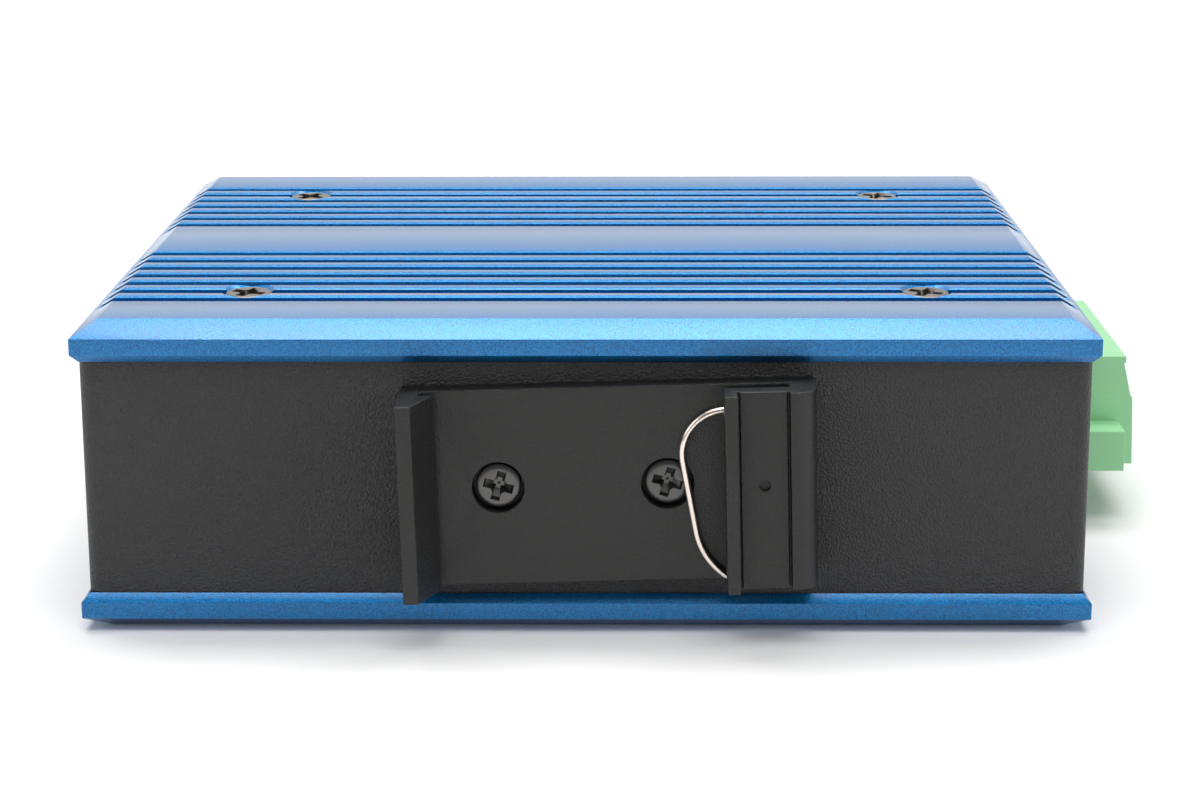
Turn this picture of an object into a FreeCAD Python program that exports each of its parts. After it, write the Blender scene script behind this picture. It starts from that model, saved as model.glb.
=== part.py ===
import FreeCAD, Part
import math
import os
from types import SimpleNamespace
import Sketcher

# DIN rail Ethernet switch: two grooved aluminium covers clamp a folded steel case between them on
# four pillars. The case carries a rail clip with a wire spring on its back (-Y), a row of five
# network ports on its front (+Y) and a pluggable screw terminal in its +X end.
# Origin: centre of the lower cover's outer face. +Z up, X along the covers.

# Every driving size, in millimetres (angles in degrees).
SIZES = (
    # covers
    ("case_length", 114.0, "length of the covers along X"),
    ("case_depth", 90.0, "depth of the covers along Y"),
    ("case_height", 36.0, "outer face of one cover to the other"),
    ("cover_edge", 4.5, "thickness of a cover at its edge"),
    ("cover_plate", 3.0, "thickness of a cover inside its edge"),
    ("edge_land", 6.0, "width of a cover's full-thickness edge"),
    ("chamfer_inset", 2.8, "outer chamfer, measured across the face"),
    ("chamfer_drop", 1.7, "outer chamfer, measured down the side"),
    ("lip_inset", 1.3, "inner bevel, measured across"),
    ("lip_rise", 0.7, "inner bevel, measured along the height"),
    ("groove_count", 7, "cooling grooves in each group"),
    ("groove_pitch", 4.0, "groove to groove"),
    ("groove_width", 2.0, "width between the groove walls"),
    ("groove_depth", 1.3, "depth of a groove"),
    ("groove_bevel", 0.45, "width of the bevel on a rib's edge"),
    ("groove_bevel_depth", 0.2, "depth of the bevel on a rib's edge"),
    ("groove_start", 12.3, "cover's long edge to the first groove's centre"),
    # cover screws and pillars
    ("cover_screw_inset", 17.6, "cover's short edge to its screws"),
    ("screw_diameter", 3.0, "M3 screws"),
    ("screw_play", 0.05, "radial play of a screw in its thread"),
    ("screw_clearance", 0.2, "radial clearance of a screw in a plain hole"),
    ("countersink_diameter", 6.4, "countersink at the cover's face"),
    ("cover_screw_head", 5.3, "countersunk head diameter"),
    ("cover_screw_length", 8.0, "screw through the upper cover"),
    ("base_screw_length", 10.0, "screw through the lower cover and the board"),
    ("cross_arm", 1.35, "cross recess, centre to end of an arm"),
    ("cross_width", 0.7, "cross recess, width of an arm"),
    ("cross_depth", 0.9, "cross recess, depth"),
    ("pillar_flats", 5.5, "pillar across its flats"),
    ("pillar_thread_depth", 9.0, "threaded hole in each end of a pillar"),
    ("spacer_diameter", 5.5, "spacer rings under the board"),
    # folded case
    ("sheet", 1.0, "thickness of the folded steel"),
    ("wall_inset_long", 1.0, "cover's long edge to the wall's outer face"),
    ("wall_inset_end", 0.6, "cover's short edge to the wall's outer face"),
    ("wall_seat", 0.6, "depth that a wall stands in its cover's slot"),
    ("wall_play", 0.15, "play beside a wall in its slot"),
    ("bend_radius", 1.5, "outer radius of a fold"),
    ("panel_play", 0.1, "front panel's flange to the end wall"),
    ("panel_flange", 8.5, "length of the front panel's flanges"),
    ("panel_screw_inset", 4.5, "panel screws, behind the panel's front face"),
    ("panel_screw_spacing", 12.0, "panel screws, apart along Z"),
    ("pan_head_diameter", 5.4, "pan heads of the case screws"),
    ("pan_head_height", 1.8, "pan heads of the case screws"),
    ("panel_screw_length", 5.0, "panel screws under their heads"),
    # board
    ("board_gap", 2.3, "lower cover to the board"),
    ("board_thickness", 1.6, "circuit board"),
    ("board_end", 2.6, "end wall's outer face to the board"),
    ("board_back", 5.0, "back wall's outer face to the board"),
    ("board_front", 1.6, "front panel's outer face to the board"),
    # ports
    ("port_count", 5, "network ports"),
    ("port_pitch", 14.0, "port to port"),
    ("port_end", 1.65, "port opening to the end of the row"),
    ("port_width", 11.8, "port opening"),
    ("port_height", 7.0, "port opening"),
    ("port_depth", 11.0, "port opening"),
    ("latch_width", 6.2, "latch notch under the opening"),
    ("latch_height", 1.6, "latch notch under the opening"),
    ("ports_height", 13.4, "height of the row of ports"),
    ("ports_depth", 15.6, "depth of the row of ports"),
    ("ports_proud", 0.4, "ports in front of the panel"),
    ("shield_sheet", 0.3, "thickness of the ports' shield"),
    ("small_play", 0.05, "play between parts that slide together"),
    ("cutout_play", 0.3, "play round a part in a case cut-out"),
    ("contact_pitch", 1.02, "port contacts"),
    ("contact_count", 8, "port contacts"),
    ("contact_width", 0.45, "port contact blade"),
    ("contact_thickness", 0.35, "port contact blade"),
    ("contact_reach", 8.5, "length of a contact along the opening's roof"),
    ("contact_tip", 1.5, "opening's back to a contact's free tip"),
    ("contact_drop", 2.0, "how far a contact hangs into the opening"),
    ("lamp_width", 2.6, "port lamp lens"),
    ("lamp_height", 2.0, "port lamp lens"),
    ("lamp_depth", 1.5, "port lamp lens"),
    ("lamp_spread", 8.4, "lamp to lamp over one port"),
    ("lamp_gap", 0.9, "port opening to the lamps over it"),
    ("lamp_drop", 2.9, "row's top to the underside of its lamps"),
    # status lights
    ("status_count", 3, "status lights"),
    ("status_pitch", 3.6, "status light to status light"),
    ("status_end", 13.8, "end wall's outer face to the first status light"),
    ("status_height", 7.0, "board to a status light's centre"),
    ("pipe_diameter", 2.4, "light pipe"),
    ("pipe_length", 6.0, "light pipe"),
    ("pipe_leg", 2.0, "leg of a light pipe, square"),
    ("pipe_proud", 0.4, "light pipe in front of the panel"),
    ("lamp_chip", 0.8, "height of a lamp chip on the board"),
    # rail clip
    ("clip_height", 22.5, "length of the clip extrusion"),
    ("clip_tilt", 1.5, "the clip sits a little askew, degrees"),
    ("clip_centre_x", -0.2, "clip's middle from the case's middle"),
    ("clip_plate", 2.6, "thickness of the clip's plate"),
    ("clip_screw_spacing", 18.8, "clip screws"),
    ("clip_head_diameter", 5.1, "clip screw head"),
    ("clip_head_height", 1.1, "clip screw head"),
    ("clip_screw_length", 6.0, "clip screw under its head"),
    ("counterbore_diameter", 5.8, "counterbore in the plate"),
    ("counterbore_depth", 1.7, "counterbore in the plate"),
    ("clip_hole_play", 0.4, "radial clearance in the back wall"),
    ("cross_turn", 15.0, "how far the clip screws' recesses are turned, degrees"),
    ("nut_flats", 5.5, "M3 nut across its flats"),
    ("nut_height", 2.4, "M3 nut"),
    ("nose_x", 16.0, "clip's middle to the hook's nose"),
    ("slot_height", 1.5, "undercut that takes the rail's edge"),
    ("slot_depth", 1.7, "undercut under the hook's nose"),
    ("hook_wall", 2.2, "hook behind its undercut"),
    ("hook_rise", 6.2, "hook's tip over the plate"),
    ("hook_tip", 1.65, "thickness of the hook's tip"),
    ("mouth_x", 15.7, "clip's middle to the channel's mouth"),
    ("channel_height", 1.5, "height of the spring channel"),
    ("channel_depth", 7.2, "depth of the spring channel"),
    ("channel_roof", 2.1, "thickness of the channel's roof"),
    ("channel_wall", 2.9, "wall behind the channel"),
    ("lip_width", 1.45, "ridge along the channel's mouth"),
    ("lip_height", 1.9, "ridge over the roof"),
    ("seam_width", 0.3, "fine grooves beside the roof's flat"),
    ("seam_depth", 0.4, "fine grooves beside the roof's flat"),
    ("roof_flat", 5.1, "flat between the fine grooves"),
    ("shoulder_height", 0.7, "rounded shoulder over the roof"),
    ("shoulder_radius", 2.3, "rounded shoulder"),
    ("stake_x", 20.0, "clip's middle to the stake that holds the spring"),
    ("stake_z", 0.6, "stake over the clip's middle"),
    ("stake_diameter", 1.2, "punched stake"),
    ("stake_depth", 0.5, "punched dimple"),
    # wire spring
    ("wire_diameter", 0.8, "spring wire"),
    ("wire_play", 0.05, "play round the wire in the channel"),
    ("bow_reach", 5.5, "bow's upper corner, out of the channel's mouth"),
    ("bow_top", 8.45, "upper arm over the clip's middle"),
    ("knee_reach", 2.75, "bow's lower corner, out of the mouth"),
    ("knee_drop", 8.4, "bow's lower corner under the middle"),
    ("foot_drop", 10.9, "lower arm under the middle"),
    ("leg_end", 5.5, "free end of the leg under the middle"),
    ("foot_rise", 3.6, "free end of the lower arm, turned up"),
    ("leg_inset", 5.7, "channel's mouth to the spring's leg"),
    ("leg_bend", 1.2, "bends beside the leg"),
    ("bow_bend", 3.6, "bend at the bow's upper corner"),
    ("knee_bend", 6.0, "bend at the bow's lower corner"),
    # terminal
    ("pole_count", 6, "terminal poles"),
    ("pole_pitch", 5.08, "pole to pole"),
    ("ear_width", 5.0, "screw ear at each end"),
    ("terminal_inset", 30.8, "front panel's face to the terminal's middle"),
    ("header_proud", 1.0, "header's face outside the end wall"),
    ("header_depth", 12.0, "header along X"),
    ("header_height", 8.5, "header over the board"),
    ("header_wall", 1.0, "walls of the header"),
    ("header_back", 2.6, "back wall of the header"),
    ("header_pin_gap", 0.8, "header's back to the pins' upright legs"),
    ("pin_size", 1.0, "square header pins"),
    ("pin_hole", 1.6, "board's holes for the header pins"),
    ("pin_height", 4.1, "board to a pin's centre line"),
    ("pin_reach", 2.4, "pin's end, inside the header's face"),
    ("pin_below", 1.5, "pin under the board"),
    ("plug_gap", 0.2, "plug's tower to the header's face"),
    ("plug_drop", 0.3, "plug's underside, under the board's top"),
    ("plug_height", 14.3, "plug's tower"),
    ("plug_top_reach", 11.0, "tower at its top lip"),
    ("plug_lip", 0.9, "height of the tower's top lip"),
    ("plug_lip_step", 0.25, "tower's lip over the face under it"),
    ("plug_shoulder_reach", 11.7, "tower at its shoulder"),
    ("plug_shoulder_drop", 5.0, "tower's top to its shoulder"),
    ("plug_shoulder_step", 0.3, "shoulder's step, across"),
    ("plug_shoulder_fall", 0.5, "shoulder's step, along the height"),
    ("plug_foot_reach", 12.25, "tower at its foot"),
    ("plug_tongue", 7.2, "part of the plug inside the header"),
    ("plug_play", 0.1, "play round the plug inside the header"),
    ("entry_width", 3.8, "wire entry"),
    ("entry_height", 4.9, "wire entry"),
    ("entry_base", 1.4, "plug's underside to the wire entry"),
    ("entry_back", 1.2, "tower's inner wall behind the wire entry"),
    ("clamp_reach", 5.6, "tower's inner face to the clamp screws"),
    ("clamp_head_diameter", 3.6, "clamp screw head"),
    ("clamp_head_height", 1.6, "clamp screw head"),
    ("clamp_head_drop", 3.4, "tower's top to the clamp screw's head"),
    ("clamp_thread", 2.6, "clamp screw"),
    ("driver_slot_width", 0.6, "slot in a terminal screw's head"),
    ("driver_slot_depth", 0.8, "slot in a terminal screw's head"),
    ("cage_length", 5.2, "clamp cage along X"),
    ("cage_wall", 0.9, "clamp cage, top and bottom"),
    ("cage_side", 0.5, "clamp cage, sides"),
    ("socket_sheet", 0.3, "plug contact strip"),
    ("socket_width", 1.5, "plug contact strip"),
    ("socket_end", 1.8, "tower's inner face to the fold of the contact strip"),
    ("ear_reach", 10.2, "ear along X"),
    ("ear_base", 0.6, "tower's underside to the ear's"),
    ("ear_height", 5.2, "ear"),
    ("ear_screw", 2.5, "M2.5 ear screws"),
    ("ear_head_diameter", 4.0, "ear screw head"),
    ("ear_head_height", 2.2, "ear screw head"),
    ("ear_seat", 4.0, "ear's inner face to the screw's head"),
    ("ear_screw_length", 8.6, "ear screw under its head"),
    ("ear_nut", 4.4, "square nut in the header's ear"),
    ("ear_nut_height", 2.0, "square nut in the header's ear"),
    ("ear_nut_inset", 2.0, "header's face to its nut"),
    # parts on the board and the earth screw
    ("chip_size", 20.0, "switch chip"),
    ("chip_height", 1.6, "switch chip and regulator"),
    ("chip_left", 14.0, "switch chip, left of the middle"),
    ("chip_inset", 29.0, "board's back edge to the switch chip's middle"),
    ("magnetics_width", 12.0, "magnetics module"),
    ("magnetics_depth", 9.0, "magnetics module"),
    ("magnetics_height", 5.6, "magnetics module"),
    ("magnetics_gap", 3.0, "ports to the magnetics modules"),
    ("inductor_size", 10.0, "power inductor"),
    ("inductor_height", 5.0, "power inductor"),
    ("inductor_end", 21.8, "board's end to the power inductor's middle"),
    ("inductor_inset", 25.0, "board's back edge to the power inductor's middle"),
    ("relay_length", 15.0, "alarm relay"),
    ("relay_depth", 7.5, "alarm relay"),
    ("relay_height", 10.0, "alarm relay"),
    ("relay_end", 23.8, "board's end to the alarm relay's middle"),
    ("relay_inset", 41.0, "board's back edge to the alarm relay's middle"),
    ("regulator_length", 5.0, "regulator chip"),
    ("regulator_depth", 6.0, "regulator chip"),
    ("regulator_end", 36.8, "board's end to the regulator chip's middle"),
    ("regulator_inset", 13.0, "board's back edge to the regulator chip's middle"),
    ("crystal_length", 11.0, "crystal"),
    ("crystal_depth", 4.6, "crystal"),
    ("crystal_height", 3.6, "crystal"),
    ("crystal_right", 6.0, "crystal, right of the middle"),
    ("crystal_inset", 29.0, "board's back edge to the crystal's middle"),
    ("capacitor_1_end", 7.3, "board's end to the first bulk capacitor"),
    ("capacitor_1_gap", 3.96, "first bulk capacitor to the terminal header"),
    ("capacitor_2_end", 26.8, "board's end to the second bulk capacitor"),
    ("capacitor_2_inset", 12.0, "board's back edge to the second bulk capacitor"),
    ("capacitor_diameter", 8.0, "bulk capacitors"),
    ("capacitor_height", 12.0, "bulk capacitors"),
    ("earth_inset", 22.0, "back wall's outer face to the earth screw"),
    ("earth_z", 20.0, "earth screw over the base"),
    ("earth_screw", 4.0, "M4 earth screw"),
    ("earth_head", 7.6, "earth screw's pan head"),
    ("earth_head_height", 2.6, "earth screw's pan head"),
    ("earth_length", 6.0, "earth screw under its head"),
    ("washer_diameter", 9.0, "earth washer"),
    ("washer_height", 0.8, "earth washer"),
    ("earth_nut_height", 3.0, "earth nut"),
    ("earth_nut_flats", 7.0, "earth nut across its flats"),
)

doc = FreeCAD.newDocument("din_rail_ethernet_switch")
sheet = doc.addObject("Spreadsheet::Sheet", "Sizes")
for row, (alias, value, note) in enumerate(SIZES, start=1):
    sheet.set(f"A{row}", note)
    sheet.set(f"B{row}", str(value))
    sheet.setAlias(f"B{row}", alias)
doc.recompute()


class Size:
    """A length that knows both its number and the sheet formula that gives it."""

    def __init__(self, number, formula=None):
        self.number = float(number)
        self.formula = formula or repr(float(number))

    def join(self, sign, other, number):
        return Size(number, f"({self.formula} {sign} {size(other).formula})")

    def __add__(self, other):
        return self.join("+", other, self.number + size(other).number)

    def __sub__(self, other):
        return self.join("-", other, self.number - size(other).number)

    def __mul__(self, other):
        return self.join("*", other, self.number * size(other).number)

    def __truediv__(self, other):
        return self.join("/", other, self.number / size(other).number)

    def __neg__(self):
        return size(0) - self

    __radd__ = __add__
    __rmul__ = __mul__


def size(value):
    return value if isinstance(value, Size) else Size(value)


S = SimpleNamespace(**{alias: Size(value, "Sizes." + alias) for alias, value, note in SIZES})

COUNTERSINK_ANGLE = 90
OVER = FreeCAD.Rotation(FreeCAD.Vector(1, 0, 0), 180)

# Places that several pieces share.
half_length = S.case_length / 2
half_depth = S.case_depth / 2
wall_x = half_length - S.wall_inset_end
wall_y = half_depth - S.wall_inset_long
seat_low = S.cover_edge - S.wall_seat
seat_high = S.case_height - seat_low
screw_x = half_length - S.cover_screw_inset
screw_y = half_depth - S.groove_start - S.groove_pitch
screw_radius = S.screw_diameter / 2
thread_radius = screw_radius + S.screw_play
plain_radius = screw_radius + S.screw_clearance
board_top = S.cover_plate + S.board_gap + S.board_thickness
clip_z = S.case_height / 2
ports_front = wall_y + S.ports_proud
ports_half = S.port_pitch * (S.port_count - 1) / 2 + S.port_width / 2 + S.port_end
header_face = wall_x + S.header_proud
header_half = S.pole_pitch * S.pole_count / 2
header_end = header_half + S.ear_width
terminal_y = wall_y - S.terminal_inset
earth_y = S.earth_inset - wall_y
plug_face = header_face + S.plug_gap
plug_base = board_top - S.plug_drop
ear_middle = header_half + S.ear_width / 2
ear_z = plug_base + S.ear_base + S.ear_height / 2
pin_z = board_top + S.pin_height
status_x = wall_x - S.status_end
status_z = board_top + S.status_height


def bind(thing, name, value):
    thing.setExpression(name, size(value).formula)


def place(thing, x=0, y=0, z=0, turn=FreeCAD.Rotation()):
    """Turn a piece about its own origin, then put that origin at a point."""
    thing.Placement = FreeCAD.Placement(FreeCAD.Vector(), turn)
    for axis, value in zip("xyz", (x, y, z)):
        bind(thing, f"Placement.Base.{axis}", value)


def new_body(label):
    body = doc.addObject("PartDesign::Body", label)
    body.Label = label
    return body


def origin_part(body, role):
    return next(part for part in body.Origin.OriginFeatures if part.Role == role)


def new_sketch(body, plane, height=0):
    """A sketch on a plane of the body, moved along its normal: +Z for XY, -Y for XZ, +X for YZ."""
    sketch = body.newObject("Sketcher::SketchObject", "Sketch")
    sketch.AttachmentSupport = [(origin_part(body, plane + "_Plane"), "")]
    sketch.MapMode = "FlatFace"
    bind(sketch, "AttachmentOffset.Base.z", height)
    return sketch


def fix_point(sketch, geometry, position, x, y):
    for kind, value in (("DistanceX", size(x)), ("DistanceY", size(y))):
        rule = Sketcher.Constraint(kind, -1, 1, geometry, position, value.number)
        bind(sketch, f"Constraints[{sketch.addConstraint(rule)}]", value)


def outline(sketch, points):
    """A closed outline through the points; its last side runs back to the first point."""
    spots = [FreeCAD.Vector(size(x).number, size(y).number, 0) for x, y in points]
    sides = [
        sketch.addGeometry(Part.LineSegment(spot, spots[(index + 1) % len(spots)]))
        for index, spot in enumerate(spots)
    ]
    for index, side in enumerate(sides):
        following = sides[(index + 1) % len(sides)]
        sketch.addConstraint(Sketcher.Constraint("Coincident", side, 2, following, 1))
        fix_point(sketch, side, 1, *points[index])


def rectangle(sketch, left, right, low, high):
    outline(sketch, [(left, low), (right, low), (right, high), (left, high)])


def circle(sketch, x, y, radius):
    x, y, radius = size(x), size(y), size(radius)
    centre = FreeCAD.Vector(x.number, y.number, 0)
    ring = sketch.addGeometry(Part.Circle(centre, FreeCAD.Vector(0, 0, 1), radius.number))
    fix_point(sketch, ring, 3, x, y)
    rule = Sketcher.Constraint("Radius", ring, radius.number)
    bind(sketch, f"Constraints[{sketch.addConstraint(rule)}]", radius)


def hexagon(sketch, x, y, flats):
    """Six sides with two of the flats facing left and right."""
    corners = []
    for step in range(6):
        angle = math.radians(30 + 60 * step)
        reach = size(flats) / math.sqrt(3)
        corners.append((x + reach * math.cos(angle), y + reach * math.sin(angle)))
    outline(sketch, corners)


def cross(sketch, x, y, turn=0):
    """The outline of a cross recess, turned by some degrees."""
    half = S.cross_width / 2
    arm = S.cross_arm
    angle = math.radians(size(turn).number)
    cosine, sine = math.cos(angle), math.sin(angle)
    points = []
    for quarter in range(4):
        for along, across in ((arm, -half), (arm, half), (half, half)):
            for _ in range(quarter):
                along, across = -across, along
            points.append((x + along * cosine - across * sine, y + along * sine + across * cosine))
    outline(sketch, points)


def pad(body, sketch, length, both_ways=False, backwards=False):
    """Material along the sketch's normal."""
    feature = body.newObject("PartDesign::Pad", "Pad")
    feature.Profile = sketch
    feature.SideType = "Symmetric" if both_ways else "One side"
    feature.Reversed = backwards
    bind(feature, "Length", length)
    doc.recompute()
    return feature


def pocket(body, sketch, depth, both_ways=False, forwards=False):
    """A cut against the sketch's normal, or along it."""
    feature = body.newObject("PartDesign::Pocket", "Pocket")
    feature.Profile = sketch
    feature.SideType = "Symmetric" if both_ways else "One side"
    feature.Reversed = forwards
    bind(feature, "Length", depth)
    doc.recompute()
    return feature


def revolve(body, sketch, side):
    """A full turn about one side of the sketch's outline."""
    feature = body.newObject("PartDesign::Revolution", "Revolution")
    feature.Profile = sketch
    feature.ReferenceAxis = (sketch, [f"Edge{side}"])
    feature.Angle = 360
    doc.recompute()
    return feature


def row_of(body, features, axis, pitch, count):
    """Copies in a row along the X, Y or Z axis of the body."""
    pattern = body.newObject("PartDesign::LinearPattern", "LinearPattern")
    pattern.Originals = features
    pattern.Direction = (origin_part(body, axis + "_Axis"), [""])
    bind(pattern, "Length", pitch * (size(count) - 1))
    bind(pattern, "Occurrences", count)
    body.Tip = pattern
    doc.recompute()
    return pattern


def four_of(body, features):
    """Copies mirrored to the other three corners."""
    corners = body.newObject("PartDesign::MultiTransform", "MultiTransform")
    mirrors = []
    for plane in ("YZ_Plane", "XZ_Plane"):
        mirror = body.newObject("PartDesign::Mirrored", "Mirrored")
        mirror.MirrorPlane = (origin_part(body, plane), [""])
        mirrors.append(mirror)
    corners.Originals = features
    corners.Transformations = mirrors
    body.Tip = corners
    doc.recompute()


def round_upright_edges(body, corners, radius):
    """Fillet the body's edges that stand on the given (x, y) points."""
    base = body.Tip
    names = []
    for number, edge in enumerate(base.Shape.Edges, start=1):
        box = edge.BoundBox
        for x, y in corners:
            spread = max(abs(limit - size(x).number) for limit in (box.XMin, box.XMax))
            spread = max(spread, *(abs(limit - size(y).number) for limit in (box.YMin, box.YMax)))
            if spread < 1e-4:
                names.append(f"Edge{number}")
    fillet = body.newObject("PartDesign::Fillet", "Fillet")
    fillet.Base = (base, names)
    bind(fillet, "Radius", radius)
    doc.recompute()


def block(label, middle_x, middle_y, base, length, depth, height):
    """A plain block standing on its base."""
    box = doc.addObject("Part::Box", label)
    box.Label = label
    bind(box, "Length", length)
    bind(box, "Width", depth)
    bind(box, "Height", height)
    place(box, size(middle_x) - size(length) / 2, size(middle_y) - size(depth) / 2, base)
    return box


# ---- covers --------------------------------------------------------------------------------


def make_cover(label):
    """One extrusion, grooved, with its ends milled to match its long edges; outer face down."""
    body = new_body(label)
    profile = new_sketch(body, "YZ")
    side = S.cover_edge - S.lip_rise
    outline(profile, [
        (S.chamfer_inset - half_depth, 0),
        (half_depth - S.chamfer_inset, 0),
        (half_depth, S.chamfer_drop),
        (half_depth, side),
        (half_depth - S.lip_inset, S.cover_edge),
        (S.lip_inset - half_depth, S.cover_edge),
        (-half_depth, side),
        (-half_depth, S.chamfer_drop),
    ])
    pad(body, profile, S.case_length, both_ways=True)

    for end in (1, -1):
        edge = half_length * end
        ends = new_sketch(body, "XZ")
        outline(ends, [
            ((half_length - S.chamfer_inset) * end, 0), (edge, 0), (edge, S.chamfer_drop),
        ])
        outline(ends, [
            (edge, side), (edge, S.cover_edge), ((half_length - S.lip_inset) * end, S.cover_edge),
        ])
        pocket(body, ends, S.case_depth * 1.1, both_ways=True)

    for end in (1, -1):
        first = (half_depth - S.groove_start) * end
        last = first - S.groove_pitch * (S.groove_count - 1) * end
        start = first if end < 0 else last
        wall = S.groove_width / 2
        crest = wall + S.groove_bevel
        groove = new_sketch(body, "YZ")
        outline(groove, [
            (start - crest, 0), (start + crest, 0), (start + wall, S.groove_bevel_depth),
            (start + wall, S.groove_depth), (start - wall, S.groove_depth),
            (start - wall, S.groove_bevel_depth),
        ])
        cut = pocket(body, groove, S.case_length * 1.1, both_ways=True)
        row_of(body, [cut], "Y", S.groove_pitch, S.groove_count)

    relief = new_sketch(body, "XY", S.cover_edge)
    inner_x = half_length - S.edge_land
    inner_y = half_depth - S.edge_land
    rectangle(relief, -inner_x, inner_x, -inner_y, inner_y)
    pocket(body, relief, S.cover_edge - S.cover_plate)

    slot = new_sketch(body, "XY", S.cover_edge)
    outer_x = wall_x + S.wall_play
    outer_y = wall_y + S.wall_play
    inner_x = wall_x - S.sheet - S.wall_play
    inner_y = wall_y - S.sheet - S.wall_play
    rectangle(slot, -outer_x, outer_x, -outer_y, outer_y)
    rectangle(slot, -inner_x, inner_x, -inner_y, inner_y)
    pocket(body, slot, S.wall_seat)

    spots = new_sketch(body, "XY")
    for x in (-screw_x, screw_x):
        for y in (-screw_y, screw_y):
            circle(spots, x, y, plain_radius)
    hole = body.newObject("PartDesign::Hole", "Hole")
    hole.Profile = spots
    hole.Threaded = False
    hole.DepthType = "ThroughAll"
    hole.HoleCutType = "Countersink"
    hole.HoleCutCountersinkAngle = COUNTERSINK_ANGLE
    hole.Reversed = True
    bind(hole, "Diameter", plain_radius * 2)
    bind(hole, "HoleCutDiameter", S.countersink_diameter)
    doc.recompute()
    return body


lower_cover = make_cover("lower_cover")
upper_cover = make_cover("upper_cover")
place(upper_cover, z=S.case_height, turn=OVER)


def countersink_height(small, large):
    """How far a countersink runs between two of its diameters."""
    return (large - small) / 2 / math.tan(math.radians(COUNTERSINK_ANGLE / 2))


def make_countersunk_screws(label, length):
    """Four screws with their flat head tops at z = 0 and their shanks upwards."""
    body = new_body(label)
    profile = new_sketch(body, "XZ", -screw_y)
    rim = screw_x + S.cover_screw_head / 2
    shank = screw_x + screw_radius
    cone = countersink_height(S.screw_diameter, S.cover_screw_head)
    outline(profile, [(screw_x, 0), (rim, 0), (shank, cone), (shank, length), (screw_x, length)])
    turned = revolve(body, profile, 5)
    recess = new_sketch(body, "XY")
    cross(recess, screw_x, screw_y)
    cut = pocket(body, recess, S.cross_depth, forwards=True)
    four_of(body, [turned, cut])
    return body


head_sink = countersink_height(S.cover_screw_head, S.countersink_diameter)
place(make_countersunk_screws("lower_cover_screws", S.base_screw_length), z=head_sink)
place(
    make_countersunk_screws("upper_cover_screws", S.cover_screw_length),
    z=S.case_height - head_sink, turn=OVER,
)

pillars = new_body("corner_standoffs")
pillar_length = S.case_height - S.cover_plate - board_top
flats = new_sketch(pillars, "XY")
hexagon(flats, screw_x, screw_y, S.pillar_flats)
stem = pad(pillars, flats, pillar_length)
threads = []
for height, forwards in ((size(0), True), (pillar_length, False)):
    mouth = new_sketch(pillars, "XY", height)
    circle(mouth, screw_x, screw_y, thread_radius)
    threads.append(pocket(pillars, mouth, S.pillar_thread_depth, forwards=forwards))
four_of(pillars, [stem] + threads)
place(pillars, z=board_top)

spacers = new_body("board_spacers")
ring = new_sketch(spacers, "XY")
circle(ring, screw_x, screw_y, S.spacer_diameter / 2)
circle(ring, screw_x, screw_y, plain_radius)
four_of(spacers, [pad(spacers, ring, S.board_gap)])
place(spacers, z=S.cover_plate)

# ---- folded case ---------------------------------------------------------------------------

panel_screw_y = wall_y - S.panel_screw_inset
panel_screw_low = (S.case_height - S.panel_screw_spacing) / 2
flange_x = wall_x - S.sheet - S.panel_play


def panel_screw_holes(body, radius):
    """The two holes for panel screws, through both ends of a case piece."""
    holes = new_sketch(body, "YZ")
    for z in (panel_screw_low, panel_screw_low + S.panel_screw_spacing):
        circle(holes, panel_screw_y, z, radius)
    pocket(body, holes, S.case_length, both_ways=True)


def make_housing_shell():
    """Back wall and both end walls, folded from one sheet; the flats stand in the covers' slots."""
    body = new_body("housing_shell")
    inner_x = wall_x - S.sheet
    inner_y = wall_y - S.sheet
    folded = new_sketch(body, "XY", S.cover_edge)
    outline(folded, [
        (-wall_x, wall_y), (-wall_x, -wall_y), (wall_x, -wall_y), (wall_x, wall_y),
        (inner_x, wall_y), (inner_x, -inner_y), (-inner_x, -inner_y), (-inner_x, wall_y),
    ])
    pad(body, folded, S.case_height - S.cover_edge * 2)
    round_upright_edges(body, [(-wall_x, -wall_y), (wall_x, -wall_y)], S.bend_radius)
    inside = [(-inner_x, -inner_y), (inner_x, -inner_y)]
    round_upright_edges(body, inside, S.bend_radius - S.sheet)

    tabs = new_sketch(body, "XY", seat_low)
    rectangle(tabs, S.bend_radius - wall_x, wall_x - S.bend_radius, -wall_y, -inner_y)
    rectangle(tabs, inner_x, wall_x, S.bend_radius - wall_y, wall_y)
    rectangle(tabs, -wall_x, -inner_x, S.bend_radius - wall_y, wall_y)
    pad(body, tabs, seat_high - seat_low)

    terminal_cutout = new_sketch(body, "YZ", wall_x)
    reach = header_end + S.cutout_play
    rectangle(
        terminal_cutout, terminal_y - reach, terminal_y + reach,
        board_top - S.cutout_play, board_top + S.header_height + S.cutout_play,
    )
    circle(terminal_cutout, earth_y, S.earth_z, S.earth_screw / 2 + S.screw_clearance)
    pocket(body, terminal_cutout, S.sheet * 2)

    clip_holes = new_sketch(body, "XZ", wall_y)
    for side in (-1, 1):
        x = S.clip_centre_x + S.clip_screw_spacing / 2 * side
        circle(clip_holes, x, clip_z, screw_radius + S.clip_hole_play)
    pocket(body, clip_holes, S.sheet * 2)
    panel_screw_holes(body, plain_radius)
    return body


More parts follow.
